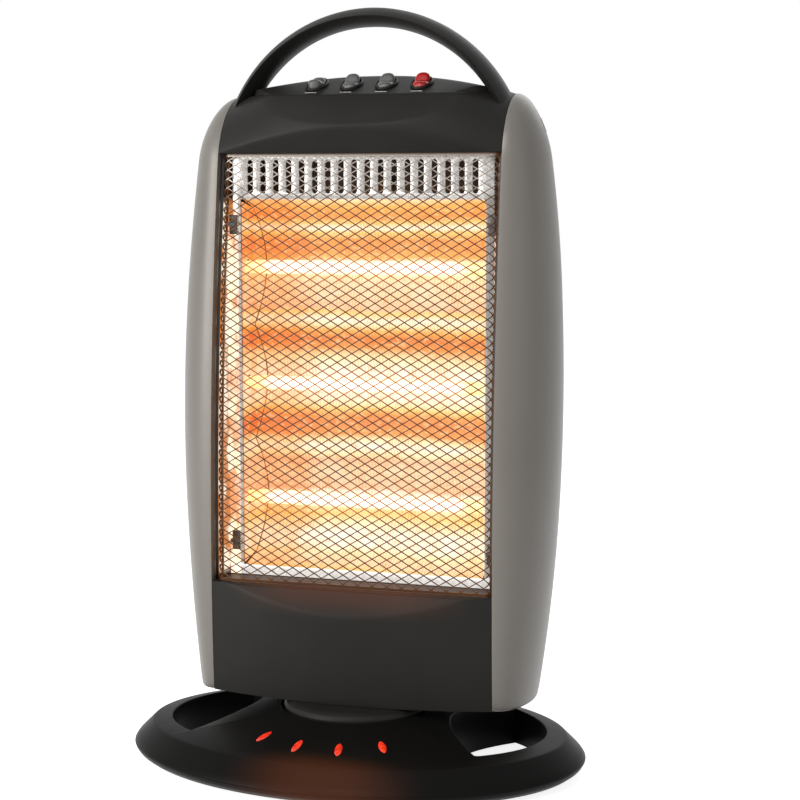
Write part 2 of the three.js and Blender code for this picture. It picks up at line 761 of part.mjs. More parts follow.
// Takes a point of the flat guard (across, up, outwards) to its place, round a fold of a few millimetres.
function foldGuard(across, up, outwards, foldAt) {
  const radius = guardFoldRadius;
  const flat = foldAt - radius;
  const quarter = (radius * Math.PI) / 2;
  const side = Math.sign(across);
  const past = Math.abs(across) - flat;
  const y0 = frontLine(up) + guardInset;
  if (past <= 0) return [across, y0 - outwards, up];
  if (past >= quarter) return [side * (foldAt - guardWire + outwards), y0 + radius + past - quarter, up];
  const angle = past / radius;
  const reach = radius - guardWire + outwards;
  return [side * (flat + reach * Math.sin(angle)), y0 + radius - guardWire - reach * Math.cos(angle), up];
}

// ---------------------------------------------------------------- reflector and lamps

const lampHeights = [middleLamp + lampPitch, middleLamp, middleLamp - lampPitch];
const reflectorTop = middleLamp + 1.5 * lampPitch;
const reflectorBottom = middleLamp - 1.5 * lampPitch;

// Depth of the reflector's sheet: three rounded troughs behind the lamps, meeting in two ridges.
function reflectorLine(z) {
  const inTrough = ((z - reflectorBottom) / lampPitch) % 1;
  const fromMiddle = Math.abs(2 * inTrough - 1);
  return troughY - (troughY - ridgeY) * fromMiddle ** 1.8;
}

function reflectorProfile() {
  const start = frameY + sheet + gap;
  const troughs = spread(reflectorBottom + 0.01, reflectorTop - 0.01, 18).map((z) => [reflectorLine(z), z]);
  return [[start, openingBottom], ...troughs, [start, openingTop]];
}

const endPlateX = (y) => openingHalf - (flare * (y - frameY)) / (troughY - frameY);

function reflector() {
  const front = reflectorProfile();
  const rear = front.map(([y, z]) => [y + sheet, z]).reverse();
  const trough = sidePrism([...front, ...rear], -openingHalf, openingHalf);
  const inset = sheet + gap;
  const plan = [
    [-endPlateX(frameY) + inset, frameY],
    [endPlateX(frameY) - inset, frameY],
    [endPlateX(troughY + 5) - inset, troughY + 5],
    [-endPlateX(troughY + 5) + inset, troughY + 5],
  ];
  return common(trough, prism(plan, 0, coverTop));
}

// A flat end plate of the reflector on the +X side, with holes for the lamps' ends.
function reflectorEnd() {
  const front = frameY + sheet + gap;
  const outline = [[front, openingBottom + 2], ...reflectorProfile().slice(1, -1), [front, openingTop - 2]];
  const leaning = prism(
    [
      [endPlateX(front) - sheet, front],
      [endPlateX(front), front],
      [endPlateX(troughY + 2), troughY + 2],
      [endPlateX(troughY + 2) - sheet, troughY + 2],
    ],
    0,
    coverTop,
  );
  const holes = lampHeights.map((z) => postAlongX(lampRadius + runningGap, lampY, z, 50, 120, 16));
  return cut(common(leaning, sidePrism(outline, 0, openingHalf + 5)), ...holes);
}

// The bright frame round the glowing opening, with the row of air slots above it.
function brightFrame() {
  const half = chassisOut - chassisWall - gap;
  const shape = new THREE.Shape();
  const narrow = half - guardFoldRadius - gap; // beside the guard's folded sides
  const outline = [
    [half, guardBottom],
    [half, frameNotchZ],
    [narrow, frameNotchZ],
    [narrow, guardTop - gap],
  ];
  const mirrored = outline.map(([x, z]) => [-x, z]).reverse();
  shape.setFromPoints([...outline, ...mirrored].map(([x, z]) => new THREE.Vector2(x, z)));
  const window = [
    [-openingHalf, openingBottom],
    [-openingHalf, openingTop],
    [openingHalf, openingTop],
    [openingHalf, openingBottom],
  ];
  shape.holes.push(new THREE.Path(window.map(([x, y]) => new THREE.Vector2(x, y))));
  const slotMiddle = (openingTop + guardTop) / 2;
  for (let i = 0; i < ventCount; i++) {
    const x = (i - (ventCount - 1) / 2) * ventPitch;
    const [r, straight] = [ventWidth / 2, (ventLength - ventWidth) / 2];
    const slot = new THREE.Path();
    slot.absarc(x, slotMiddle + straight, r, 0, Math.PI, false);
    slot.absarc(x, slotMiddle - straight, r, Math.PI, 2 * Math.PI, false);
    shape.holes.push(slot);
  }
  const plate = new THREE.ExtrudeGeometry(shape, { depth: sheet, bevelEnabled: false, curveSegments: 2 });
  return plate.rotateX(Math.PI / 2).translate(0, frameY + sheet, 0);
}

function lampTube(z) {
  const half = openingHalf + 0.5;
  const tube = postAlongX(lampRadius, lampY, z, -half, half, 12);
  return cut(tube, postAlongX(lampRadius - lampGlass, lampY, z, -half - 5, half + 5, 12));
}

// A ceramic block that holds one end of a lamp, with a cap that the tube's end rests against.
function lampHolder(side, z) {
  const near = openingHalf + 0.5 + gap;
  const far = chassisOut - chassisWall - gap;
  const body = block(near + 2, far, lampY - 8, lampY + 8, z - 9, z + 9);
  const holder = join(body, postAlongX(lampRadius + 1, lampY, z, near, near + 3, 12));
  return side < 0 ? mirrorX(holder) : holder;
}

function guardBracket(x, z) {
  return join(
    block(x - 3, x + 3, frameY - gap - 1.5, frameY - gap, z - 7, z + 7),
    block(x - 3, x + 3, frameY - gap - 5, frameY - gap, z - 1.5, z + 1.5),
  );
}

// ---------------------------------------------------------------- control housing and handle

// The housing's outline from the side: lower facet, upper facet, sloping deck and rear.
function housingSide(inset) {
  const lowerEdge = [frontLine(guardTop) + inset, housingBottom - inset * 3];
  return [
    lowerEdge,
    [frontLine(guardTop) + inset, housingBottom],
    [waistY + 1.2 * inset, waistZ],
    [deckFrontY + inset / 2, deckFrontZ - inset],
    [deckRearY, crownTop - inset],
    [rearMostY + 20, crownTop - inset],
    [rearMostY + 20, housingBottom - inset * 3],
  ];
}

// The crown seen from the front: highest in the middle, falling away to both sides.
function crownOutline(inset, sides) {
  const half = coverInner + 2;
  const crown = spread(half, -half, sides).map((x) => [x, crownTop - inset - crownFall * x * x]);
  return [[-half, housingBottom - 20], [half, housingBottom - 20], ...crown];
}

function housingEnvelope(inset) {
  const sides = inset > 0 ? 10 : 20;
  const steps = inset > 0 ? 4 : 9;
  const low = inset > 0 ? housingBottom - 2 * inset : housingBottom;
  const wide = coverInner + 10;
  const crown = prism(crownOutline(inset, sides), -120, 120).rotateX(Math.PI / 2);
  return common(bodyLoft(low, crownTop + 4, steps, inset, sides), sidePrism(housingSide(inset), -wide, wide), crown);
}

const switchXs = spread(-1.5 * switchPitch, 1.5 * switchPitch, switchCount - 1);

// The deck's own frame: its origin at the switches' middle, X across, Y up the slope, Z off the surface.
function deckFrame(x) {
  const frame = new THREE.Group();
  frame.position.set(
    x,
    deckFrontY + switchAlongDeck * Math.cos(deckSlope),
    deckFrontZ + switchAlongDeck * Math.sin(deckSlope),
  );
  frame.rotation.x = deckSlope;
  frame.updateMatrix();
  return frame;
}

function onDeck(geometry, x) {
  return geometry.applyMatrix4(deckFrame(x).matrix);
}

const switchBodyHalf = [rockerHalf[0] + 1.9, rockerHalf[1] + 1.6];

function controlHousing() {
  const [halfX, halfY] = switchBodyHalf;
  const cutouts = switchXs.map((x) =>
    onDeck(block(-halfX - gap, halfX + gap, -halfY - gap, halfY + gap, -8, 8), x),
  );
  return cut(housingEnvelope(0), housingEnvelope(panelWall), ...cutouts);
}

// A switch: an oval bezel on the deck, its box below, and an oval well for the rocker.
function switchBody() {
  const [halfX, halfY] = switchBodyHalf;
  const bezel = prism(ellipse(...bezelHalf, 20), gap, gap + 1.6);
  const box = block(-halfX, halfX, -halfY, halfY, -switchDepth, gap + 1);
  const well = prism(ellipse(rockerHalf[0] + runningGap, rockerHalf[1] + 1.1, 16), -switchDepth + 3, 10);
  return cut(join(bezel, box), well);
}

// A rocker: an oval cap with two raised lobes, a shallow dip between them and a round belly.
function rocker() {
  const [halfX, halfY] = rockerHalf;
  const lobes = spread(-halfY - 1, halfY + 1, 6).map((y) => [y, 2.6 + 2.2 * Math.abs(y / halfY) ** 1.5]);
  const belly = arc(halfY - 1.4, halfY - 2.4, 0, -Math.PI, 8);
  const side = sidePrism([...lobes.reverse(), ...belly.reverse()], -halfX - 1, halfX + 1);
  return common(side, prism(ellipse(halfX, halfY, 16), -20, 20));
}

// The handle's section: deep from front to rear, thin across the arch, with a soft nose at the front.
function handleSection(angle) {
  const centreZ = handleTop - handleRadius;
  const slim = 1 - 0.12 * Math.abs(Math.cos(angle));
  const half = (handleThick / 2) * slim;
  const middle = handleRadius - handleThick / 2;
  return spread(0, 2 * Math.PI, 12)
    .slice(0, -1)
    .map((t) => {
      const nose = Math.sign(Math.sin(t)) * Math.abs(Math.sin(t)) ** 1.25;
      const radial = middle + half * nose;
      const y = handleY - (handleDepth / 2) * Math.cos(t);
      return [radial * Math.cos(angle), y, centreZ + radial * Math.sin(angle)];
    });
}

function carryHandle() {
  const low = radians(14);
  const rings = spread(low, Math.PI - low, 22).map(handleSection);
  const arch = loftAlong(rings);
  const between = block(-coverInner + gap, coverInner - gap, -200, 200, 0, handleTop + 5);
  const seat = housingEnvelope(-gap);
  return cut(common(arch, between), seat, block(-200, 200, -200, 200, 0, housingBottom + 20));
}

// A loft whose end rings stand upright, capped by fans from their first points.
function loftAlong(rings) {
  const count = rings[0].length;
  const faces = [];
  for (let ring = 0; ring + 1 < rings.length; ring++) {
    for (let i = 0; i < count; i++) {
      const next = (i + 1) % count;
      const [a, b] = [ring * count + i, ring * count + next];
      faces.push(a, b, b + count, a, b + count, a + count);
    }
  }
  const last = (rings.length - 1) * count;
  for (let i = 1; i + 1 < count; i++) {
    faces.push(0, i + 1, i, last, last + i, last + i + 1);
  }
  const geometry = new THREE.BufferGeometry();
  geometry.setAttribute("position", new THREE.Float32BufferAttribute(rings.flat(2), 3));
  geometry.setIndex(faces);
  return geometry;
}

// ---------------------------------------------------------------- small fittings inside

function terminalBlock(floorTop) {
  const bottom = floorTop + gap;
  const body = block(-80, -40, 28, 44, bottom, bottom + 14);
  const wells = spread(-75, -45, 3).map((x) => post(2.6, x, 36, bottom + 6, bottom + 30, 12));
  return cut(body, ...wells);
}

function thermalCutout() {
  const back = chassisBackY - gap;
  return join(postAlongY(8, 0, 413, back - 6, back), postAlongY(4, 0, 413, back - 9, back - 5));
}

// ---------------------------------------------------------------- assembly of the head

const floorTop = discTop + gap + 0.3 + 2;

function buildHead() {
  piece(head, "swivel_disc", swivelDisc(), blackPlastic);
  piece(head, "swivel_retainer", swivelRetainer(), steel);
  piece(head, "motor_crank", motorCrank(), steel);
  piece(head, "swing_motor", swingMotor(floorTop), steel);
  piece(head, "head_floor", headFloor(), blackPlastic);
  piece(head, "right_side_cover", sideCover(), greyCover);
  piece(head, "left_side_cover", mirrorX(sideCover()), greyCover);
  piece(head, "right_cover_screw", coverScrew(), steel);
  piece(head, "left_cover_screw", mirrorX(coverScrew()), steel);
  piece(head, "lower_front_panel", lowerFrontPanel(), blackPlastic);
  piece(head, "rear_cover", rearCover(), blackPlastic);
  piece(head, "chassis", chassis(floorTop), blackPlastic);
  piece(head, "wire_guard", wireGuard(), blackWire);
  piece(head, "terminal_block", terminalBlock(floorTop), ceramic);
  piece(head, "thermal_cutout", thermalCutout(), steel);
}

function buildReflector() {
  piece(head, "reflector", reflector(), brightSheet);
  piece(head, "reflector_end_right", reflectorEnd(), brightSheet);
  piece(head, "reflector_end_left", mirrorX(reflectorEnd()), brightSheet);
  piece(head, "reflector_frame", brightFrame(), brightSheet);
  const filamentHalf = openingHalf + 0.5;
  lampHeights.forEach((z, i) => {
    const number = i + 1;
    piece(head, "lamp_tube_" + number, lampTube(z), quartz);
    const filament = postAlongX(filamentRadius, lampY, z, -filamentHalf, filamentHalf, 8);
    piece(head, "lamp_filament_" + number, filament, tungsten);
    piece(head, "lamp_holder_left_" + number, lampHolder(-1, z), ceramic);
    piece(head, "lamp_holder_right_" + number, lampHolder(1, z), ceramic);
  });
  for (const [side, sign] of [["left", -1], ["right", 1]]) {
    bracketZ.forEach((z, i) => {
      const level = i === 0 ? "lower" : "upper";
      piece(head, "guard_bracket_" + level + "_" + side, guardBracket(sign * bracketX, z), blackPlastic);
    });
  }
}

function buildControls() {
  piece(head, "control_housing", controlHousing(), blackPlastic);
  piece(head, "carry_handle", carryHandle(), blackPlastic);
  switchXs.forEach((x, i) => {
    const place = deckFrame(x);
    head.add(place);
    piece(place, "switch_body_" + (i + 1), switchBody(), blackPlastic);
    const isMain = i === switchCount - 1;
    const cap = piece(place, "rocker_" + (i + 1), rocker(), isMain ? redPlastic : greyRocker);
    cap.rotation.x = radians(i === 0 ? -rockerTilt : rockerTilt);
  });
}

buildBase();
buildHead();
buildReflector();
buildControls();

export default heater;
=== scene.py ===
"""A three-bar halogen heater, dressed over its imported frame: shells, a fine wire guard and glowing lamps.

Lengths in the shapes are millimetres and become metres when a mesh is made. X runs to the right as one
faces the heater, Y to its rear and Z up. The shapes repeat the formulas of the part's own source.
"""

import math

import bmesh
import bpy
import numpy as np
from bpy.props import FloatProperty, FloatVectorProperty, IntProperty, PointerProperty
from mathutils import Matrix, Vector


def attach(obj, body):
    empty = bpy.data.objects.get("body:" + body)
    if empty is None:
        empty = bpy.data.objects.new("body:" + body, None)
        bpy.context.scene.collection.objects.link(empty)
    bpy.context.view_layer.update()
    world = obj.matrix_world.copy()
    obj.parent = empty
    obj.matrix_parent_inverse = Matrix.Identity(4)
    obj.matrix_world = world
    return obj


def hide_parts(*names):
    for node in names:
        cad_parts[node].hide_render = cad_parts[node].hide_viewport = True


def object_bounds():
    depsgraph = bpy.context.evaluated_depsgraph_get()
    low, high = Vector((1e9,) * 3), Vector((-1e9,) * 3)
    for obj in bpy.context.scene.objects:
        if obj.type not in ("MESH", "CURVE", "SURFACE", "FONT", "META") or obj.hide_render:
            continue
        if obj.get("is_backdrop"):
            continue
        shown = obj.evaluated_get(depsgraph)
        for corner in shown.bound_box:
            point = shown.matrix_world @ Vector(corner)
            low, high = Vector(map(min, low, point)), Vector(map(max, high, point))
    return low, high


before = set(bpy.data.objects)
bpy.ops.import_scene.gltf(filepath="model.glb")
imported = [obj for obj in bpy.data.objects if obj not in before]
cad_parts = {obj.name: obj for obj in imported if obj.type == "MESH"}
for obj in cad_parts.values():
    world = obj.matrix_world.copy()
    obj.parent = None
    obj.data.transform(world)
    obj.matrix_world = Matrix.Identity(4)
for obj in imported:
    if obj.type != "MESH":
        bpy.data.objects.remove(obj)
for leftover in ("Cube", "Light", "Camera"):
    if leftover in bpy.data.objects:
        bpy.data.objects.remove(bpy.data.objects[leftover])
CAD_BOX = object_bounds()

bl_info = {
    "name": "Halogen Heater",
    "version": (1, 0, 0),
    "blender": (4, 5, 0),
    "location": "3D View > Sidebar > Heater",
    "description": "Builds the shells, guard, lamps and switches of a halogen heater round its frame",
    "category": "Add Mesh",
}

MM = 0.001

# The heater's measures in millimetres, as in the part's source
GAP = 0.3
BASE_X, BASE_Y = 166.0, 118.0
FACET_INSET, FACET_HEIGHT, BELT_HEIGHT, BASE_BOTTOM = 14.0, 25.0, 10.0, 2.6
RIM_WIDTH, WEB_HALF, OPENING_TIP = 28.0, 72.0, math.radians(41.7)
RING_RADIUS, RING_TOP, RECESS_RADIUS, RECESS_FLOOR = 58.0, 41.0, 54.0, 36.0
HEAD_BOTTOM, COVER_INNER, COVER_TOP, ROUND_START = 46.3, 104.0, 474.0, 428.0
BODY_HALF = COVER_INNER - 1.3 * GAP
GUARD_BOTTOM, GUARD_TOP, GUARD_INSET, GUARD_FOLD = 127.0, 432.0, 4.5, 4.0
GUARD_SIDE, GUARD_RETURN, GUARD_THICK = 100.8, 9.0, 1.3
LAMP_HEIGHTS, LAMP_Y = (351.5, 267.5, 183.5), 22.0
LAMP_PITCH, TROUGH_Y, RIDGE_Y = 84.0, 50.0, 30.0
REFLECTOR_BOTTOM, REFLECTOR_TOP = 141.5, 393.5
OPENING_HALF, OPENING_BOTTOM, OPENING_TOP, FRAME_Y, SHEET = 91.0, 134.0, 400.0, 12.0, 1.2
SWITCH_XS = (-39.0, -13.0, 13.0, 39.0)
DECK_SLOPE = math.atan2(15.2, 36.0)
DECK_FRONT, DECK_MIDDLE = (14.0, 473.4), 19.0
DECK_ORIGIN = (DECK_FRONT[0] + DECK_MIDDLE * math.cos(DECK_SLOPE),
               DECK_FRONT[1] + DECK_MIDDLE * math.sin(DECK_SLOPE))
CROWN_TOP, CROWN_FALL = 488.6, 0.0014
HANDLE_Y, HANDLE_TOP, HANDLE_RADIUS = 38.0, 535.0, 115.0
HANDLE_HALF_THICK, HANDLE_HALF_DEEP = 6.75, 17.0
PANEL_HIGH_Y, PANEL_LOW_Z = -22.0, 110.6
SCREW_Y, SCREW_Z, SCREW_FLOOR = 51.0, 452.0, 116.0
LAMP_RADIUS, SHELL_WALL = 5.0, 2.4


# ---------------------------------------------------------------- what a user may change


class HeaterSizes(bpy.types.PropertyGroup):
    """Sizes of the visible details."""

    guard_across: FloatProperty(
        name="Guard pitch across", description="Width of one diamond of the wire guard",
        default=0.0108, min=0.004, max=0.05, unit="LENGTH")
    guard_up: FloatProperty(
        name="Guard pitch up", description="Height of one diamond of the wire guard",
        default=0.0064, min=0.003, max=0.05, unit="LENGTH")
    guard_wire: FloatProperty(
        name="Guard wire", description="Thickness of the guard's strands",
        default=0.0007, min=0.0003, max=0.002, unit="LENGTH")
    coil_turns: IntProperty(
        name="Filament turns", description="Turns of each lamp's tungsten coil",
        default=78, min=10, max=200)
    crease: FloatProperty(
        name="Crease softness", description="How softly the facets of the black panels meet",
        default=0.0012, min=0.0002, max=0.01, unit="LENGTH")


class HeaterColours(bpy.types.PropertyGroup):
    """Colours of the finishes and the brightness of the lamps."""

    covers: FloatVectorProperty(
        name="Side covers", description="Warm satin grey of the side covers",
        default=(0.182, 0.167, 0.148), size=3, subtype="COLOR", min=0, max=1)
    body: FloatVectorProperty(
        name="Body", description="Black of the panels, the handle and the base",
        default=(0.0165, 0.0158, 0.0146), size=3, subtype="COLOR", min=0, max=1)
    rockers: FloatVectorProperty(
        name="Rockers", description="Grey of the three power switches",
        default=(0.13, 0.13, 0.128), size=3, subtype="COLOR", min=0, max=1)
    swing_rocker: FloatVectorProperty(
        name="Swing rocker", description="Red of the switch that starts the swing",
        default=(0.47, 0.012, 0.012), size=3, subtype="COLOR", min=0, max=1)
    inserts: FloatVectorProperty(
        name="Slot inserts", description="Red of the lit inserts in the base",
        default=(1.0, 0.022, 0.004), size=3, subtype="COLOR", min=0, max=1)
    lamp_light: FloatProperty(
        name="Lamp brightness", description="Strength of the light of the quartz lamps",
        default=1.3, min=0.5, max=50)


# ---------------------------------------------------------------- shader helpers


class Num:
    """A number socket used in plain expressions: each operator adds a Math node."""

    def __init__(self, look, socket):
        self.look, self.socket = look, socket

    def _math(self, operation, first, second):
        node = self.look.node("ShaderNodeMath", {"operation": operation}, {0: first, 1: second})
        return Num(self.look, node.outputs[0])

    def __add__(self, other):
        return self._math("ADD", self, other)

    def __sub__(self, other):
        return self._math("SUBTRACT", self, other)

    def __rsub__(self, other):
        return self._math("SUBTRACT", other, self)

    def __mul__(self, other):
        return self._math("MULTIPLY", self, other)

    def __truediv__(self, other):
        return self._math("DIVIDE", self, other)

    def __pow__(self, other):
        return self._math("POWER", self, other)

    __radd__ = __add__
    __rmul__ = __mul__

    def sine(self):
        return self._math("SINE", self, 0.0)

    def size(self):
        return self._math("ABSOLUTE", self, 0.0)

    def between(self, low, high):
        """0 below low, 1 above high, smooth between them."""
        sockets = {"Value": self, "From Min": low, "From Max": high}
        node = self.look.node("ShaderNodeMapRange", {"interpolation_type": "SMOOTHSTEP"}, sockets)
        return Num(self.look, node.outputs[0])


class Nodes:
    """The nodes of a material or of the world, all added by one method."""

    def __init__(self, owner):
        owner.use_nodes = True
        self.tree = owner.node_tree
        self.tree.nodes.clear()

    def node(self, kind, settings=None, sockets=None):
        """Adds a node: settings are its own options or a ramp's stops, sockets its values or links."""
        node = self.tree.nodes.new(kind)
        for name, value in (settings or {}).items():
            if name == "stops":
                self._set_stops(node.color_ramp, value)
            else:
                setattr(node, name, value)
        for name, value in (sockets or {}).items():
            self.feed(node.inputs[name], value)
        return node

    def feed(self, socket, value):
        """Links a socket or sets its value; a colour of three channels is made opaque."""
        if isinstance(value, Num):
            value = value.socket
        if isinstance(value, bpy.types.NodeSocket):
            self.tree.links.new(value, socket)
        elif socket.type == "RGBA" and len(value) == 3:
            socket.default_value = (*value, 1.0)
        else:
            socket.default_value = value

    def seen(self):
        """1 for the rays that see the surroundings, directly, mirrored or through glass, and 0 for light."""
        path = self.node("ShaderNodeLightPath")
        rays = [Num(self, path.outputs["Is %s Ray" % kind]) for kind in ("Camera", "Glossy", "Transmission")]
        return rays[0] + rays[1] + rays[2]

    @staticmethod
    def _set_stops(ramp, stops):
        """Puts (position, colour) stops on a ramp."""
        while len(ramp.elements) < len(stops):
            ramp.elements.new(0.5)
        for element, (position, colour) in zip(ramp.elements, stops):
            element.position = position
            element.color = (*colour, 1.0)


class Look(Nodes):
    """One procedural material with a Principled shader."""

    def __init__(self, name):
        self.material = bpy.data.materials.new(name)
        super().__init__(self.material)
        self.shader = self.node("ShaderNodeBsdfPrincipled")
        self.node("ShaderNodeOutputMaterial", {}, {"Surface": self.shader.outputs[0]})
        self.place = self.node("ShaderNodeTexCoord").outputs["Object"]

    def set(self, **values):
        """Feeds the Principled shader; a name's underscores stand for spaces."""
        for name, value in values.items():
            self.feed(self.shader.inputs[name.replace("_", " ")], value)
        return self

    def noise(self, scale, detail=3.0, stretch=(1, 1, 1), rough=0.5):
        """Noise of that many spots per metre, stretched along an axis where its factor is small."""
        mapped = self.node("ShaderNodeMapping", {}, {"Vector": self.place, "Scale": stretch})
        sockets = {"Vector": mapped.outputs[0], "Scale": scale, "Detail": detail, "Roughness": rough}
        return Num(self, self.node("ShaderNodeTexNoise", {}, sockets).outputs[0])

    def axis(self, name):
        """X, Y or Z of the point on the object, in metres."""
        parted = self.node("ShaderNodeSeparateXYZ", {}, {0: self.place})
        return Num(self, parted.outputs[name])

    def mix(self, factor, first, second, blend="MIX"):
        """A colour between two colours."""
        settings = {"data_type": "RGBA", "blend_type": blend, "clamp_factor": True}
        node = self.node("ShaderNodeMix", settings)
        self.feed(node.inputs[0], factor)
        self.feed(node.inputs[6], first)
        self.feed(node.inputs[7], second)
        return node.outputs[2]

    def ramp(self, factor, stops):
        """A colour between (position, colour) stops."""
        return self.node("ShaderNodeValToRGB", {"stops": stops}, {"Fac": factor}).outputs[0]

    def bump(self, height, distance):
        """Raises the surface by height times a distance in metres."""
        sockets = {"Height": height, "Distance": distance}
        self.set(Normal=self.node("ShaderNodeBump", {}, sockets).outputs[0])
        return self


def shade(colour, factor):
    """A colour made darker or lighter by a factor."""
    return tuple(min(1.0, channel * factor) for channel in colour)


def moulded(name, colour, roughness, grain=0.00002, shine=0.14, painted_glow_area=None):
    """Moulded plastic: a fine spark-eroded grain, faint flow clouds and a few duller, handled patches.

    The last argument is a function of the look that gives where, and how strongly, a painted glow of the lamps
    tints it.
    """
    look = Look(name)
    clouds = look.noise(11, 4)
    fine = look.noise(1500, 2)
    handled = look.noise(34, 5, rough=0.65)
    tone = look.mix(clouds.between(0.3, 0.7), shade(colour, 0.86), shade(colour, 1.16))
    look.set(Base_Color=look.mix(fine.between(0.6, 0.8) * 0.25, tone, shade(colour, 1.7)))
    look.set(Roughness=roughness + (handled - 0.5) * 0.16 + (fine - 0.5) * 0.08, Specular_IOR_Level=shine)
    if painted_glow_area:
        # painted lamp glow: a faint orange-brown emission where the given function is high
        tint = look.mix(painted_glow_area(look), (0.0, 0.0, 0.0), (0.055, 0.013, 0.003))
        look.set(Emission_Color=tint, Emission_Strength=1.0)
    return look.bump(fine, grain).material


def satin_paint(name, colour):
    """Warm grey satin paint with fine metal flakes under a thin clear coat."""
    look = Look(name)
    flakes = look.noise(2600, 1)
    clouds = look.noise(7, 3)
    peel = look.noise(240, 2)
    tone = look.mix(clouds.between(0.3, 0.7), shade(colour, 0.95), shade(colour, 1.05))
    sparkle = flakes.between(0.55, 0.75)
    look.set(Base_Color=look.mix(sparkle * 0.35, tone, shade(colour, 1.5)), Metallic=0.12 + sparkle * 0.22)
    look.set(Roughness=0.4 + (flakes - 0.5) * 0.16 + (peel - 0.5) * 0.06)
    look.set(Coat_Weight=0.18, Coat_Roughness=0.28)
    return look.bump(peel * 0.8 + flakes * 0.2, 0.00002).material


def metal(name, colour, roughness, shine=1.0):
    """Bare sheet or turned metal with fine brush lines and uneven dulling."""
    look = Look(name)
    lines = look.noise(1500, 2)
    dull = look.noise(28, 4)
    look.set(Base_Color=look.mix(dull.between(0.35, 0.75), shade(colour, 1.05), shade(colour, 0.82)))
    look.set(Metallic=shine)
    look.set(Roughness=roughness + (lines - 0.5) * 0.2 + (dull - 0.5) * 0.14)
    return look.bump(lines, 0.000012).material


def matt(name, colour, roughness, spots=300):
    """Rubber, ceramic or phenolic: dull and slightly speckled."""
    look = Look(name)
    speck = look.noise(spots, 4)
    look.set(Base_Color=look.mix(speck, shade(colour, 0.8), shade(colour, 1.15)))
    look.set(Roughness=roughness + (speck - 0.5) * 0.1)
    return look.bump(speck, 0.00003).material


# Heights of the painted glow's bands behind the guard, in millimetres, with the colour at each
DEEP, ORANGE, AMBER, GOLD = (0.66, 0.15, 0.03), (0.86, 0.27, 0.06), (0.95, 0.42, 0.09), (1.0, 0.62, 0.2)
CREAM, WHITE, PINK, ROSE = (1.0, 0.82, 0.5), (1.0, 0.95, 0.84), (1.0, 0.68, 0.46), (0.86, 0.5, 0.33)
GLOW_BANDS = (
    (133, GOLD), (137, PINK), (142, CREAM), (148, WHITE), (155, WHITE), (162, CREAM), (168, GOLD),
    (174, CREAM), (178, WHITE), (184, WHITE), (187, ROSE), (200, PINK), (210, ROSE), (214, CREAM),
    (221, WHITE), (226, CREAM), (230, ORANGE), (238, DEEP), (243, ORANGE), (247, GOLD), (250, CREAM),
    (256, WHITE), (274, WHITE), (284, CREAM), (292, ORANGE), (299, DEEP), (305, AMBER), (309, CREAM),
    (313, WHITE), (318, GOLD), (321, ROSE), (330, PINK), (340, PINK), (344, CREAM), (354, WHITE),
    (358, AMBER), (364, ORANGE), (371, ORANGE), (377, GOLD), (380, WHITE), (384, GOLD), (388, ORANGE),
    (396, AMBER), (401, CREAM),
)


def ramp_parts(bands, parts):
    """Splits a long list of bands into ramps of a few stops, each with its height range."""
    step = math.ceil(len(bands) / parts)
    for first in range(0, len(bands) - 1, step):
        chunk = bands[first:first + step + 1]
        low, high = chunk[0][0], chunk[-1][0]
        yield low, high, [((z - low) / (high - low), colour) for z, colour in chunk]


def glowing_sheet(name):
    """The bright reflector with the lamps' light painted on it as emission: bands of painted light by height,
    deeper orange towards its ends.

    The fine upright flutes that are pressed into the sheet break each painted band into ticks.
    """
    look = Look(name)
    height, across = look.axis("Z"), look.axis("X")
    wander = (look.noise(9, 3) - 0.5) * 0.012
    level = (height + wander) * 1000.0
    colour = None
    for low, high, stops in ramp_parts(GLOW_BANDS, 3):
        part = look.ramp((level - low) / (high - low), stops)
        colour = part if colour is None else look.mix(level.between(low - 0.01, low + 0.01), colour, part)
    left = 1.0 - (across + (look.noise(40, 2) - 0.5) * 0.03).between(-0.062, -0.04)
    right = across.between(0.06, 0.095)
    warm = look.mix(0.62, colour, AMBER, "MULTIPLY")
    colour = look.mix(left * 0.85, colour, warm)
    colour = look.mix(right * 0.5, colour, look.mix(0.5, colour, GOLD, "MULTIPLY"))
    flutes = ((across * (2 * math.pi / 0.0024)).sine() * 0.5 + 0.5) ** 1.5
    patches = look.noise(60, 3).between(0.38, 0.58)
    colour = look.mix(flutes * patches * 0.7, colour, look.mix(1.0, colour, (0.94, 0.58, 0.3), "MULTIPLY"))
    speckle = look.noise(240, 2, (1, 1, 1.6)).between(0.52, 0.68)
    colour = look.mix(speckle * 0.35, colour, CREAM)
    dusk = look.noise(170, 2, (1, 1, 1.6)).between(0.54, 0.7)
    colour = look.mix(dusk * 0.4, colour, look.mix(1.0, colour, (0.85, 0.5, 0.3), "MULTIPLY"))
    look.set(Base_Color=(0.25, 0.16, 0.08), Metallic=0.3, Roughness=0.4)
    # painted light: the lamps' glow on the sheet, given as emission
    look.set(Emission_Color=colour, Emission_Strength=1.0)
    return look.material


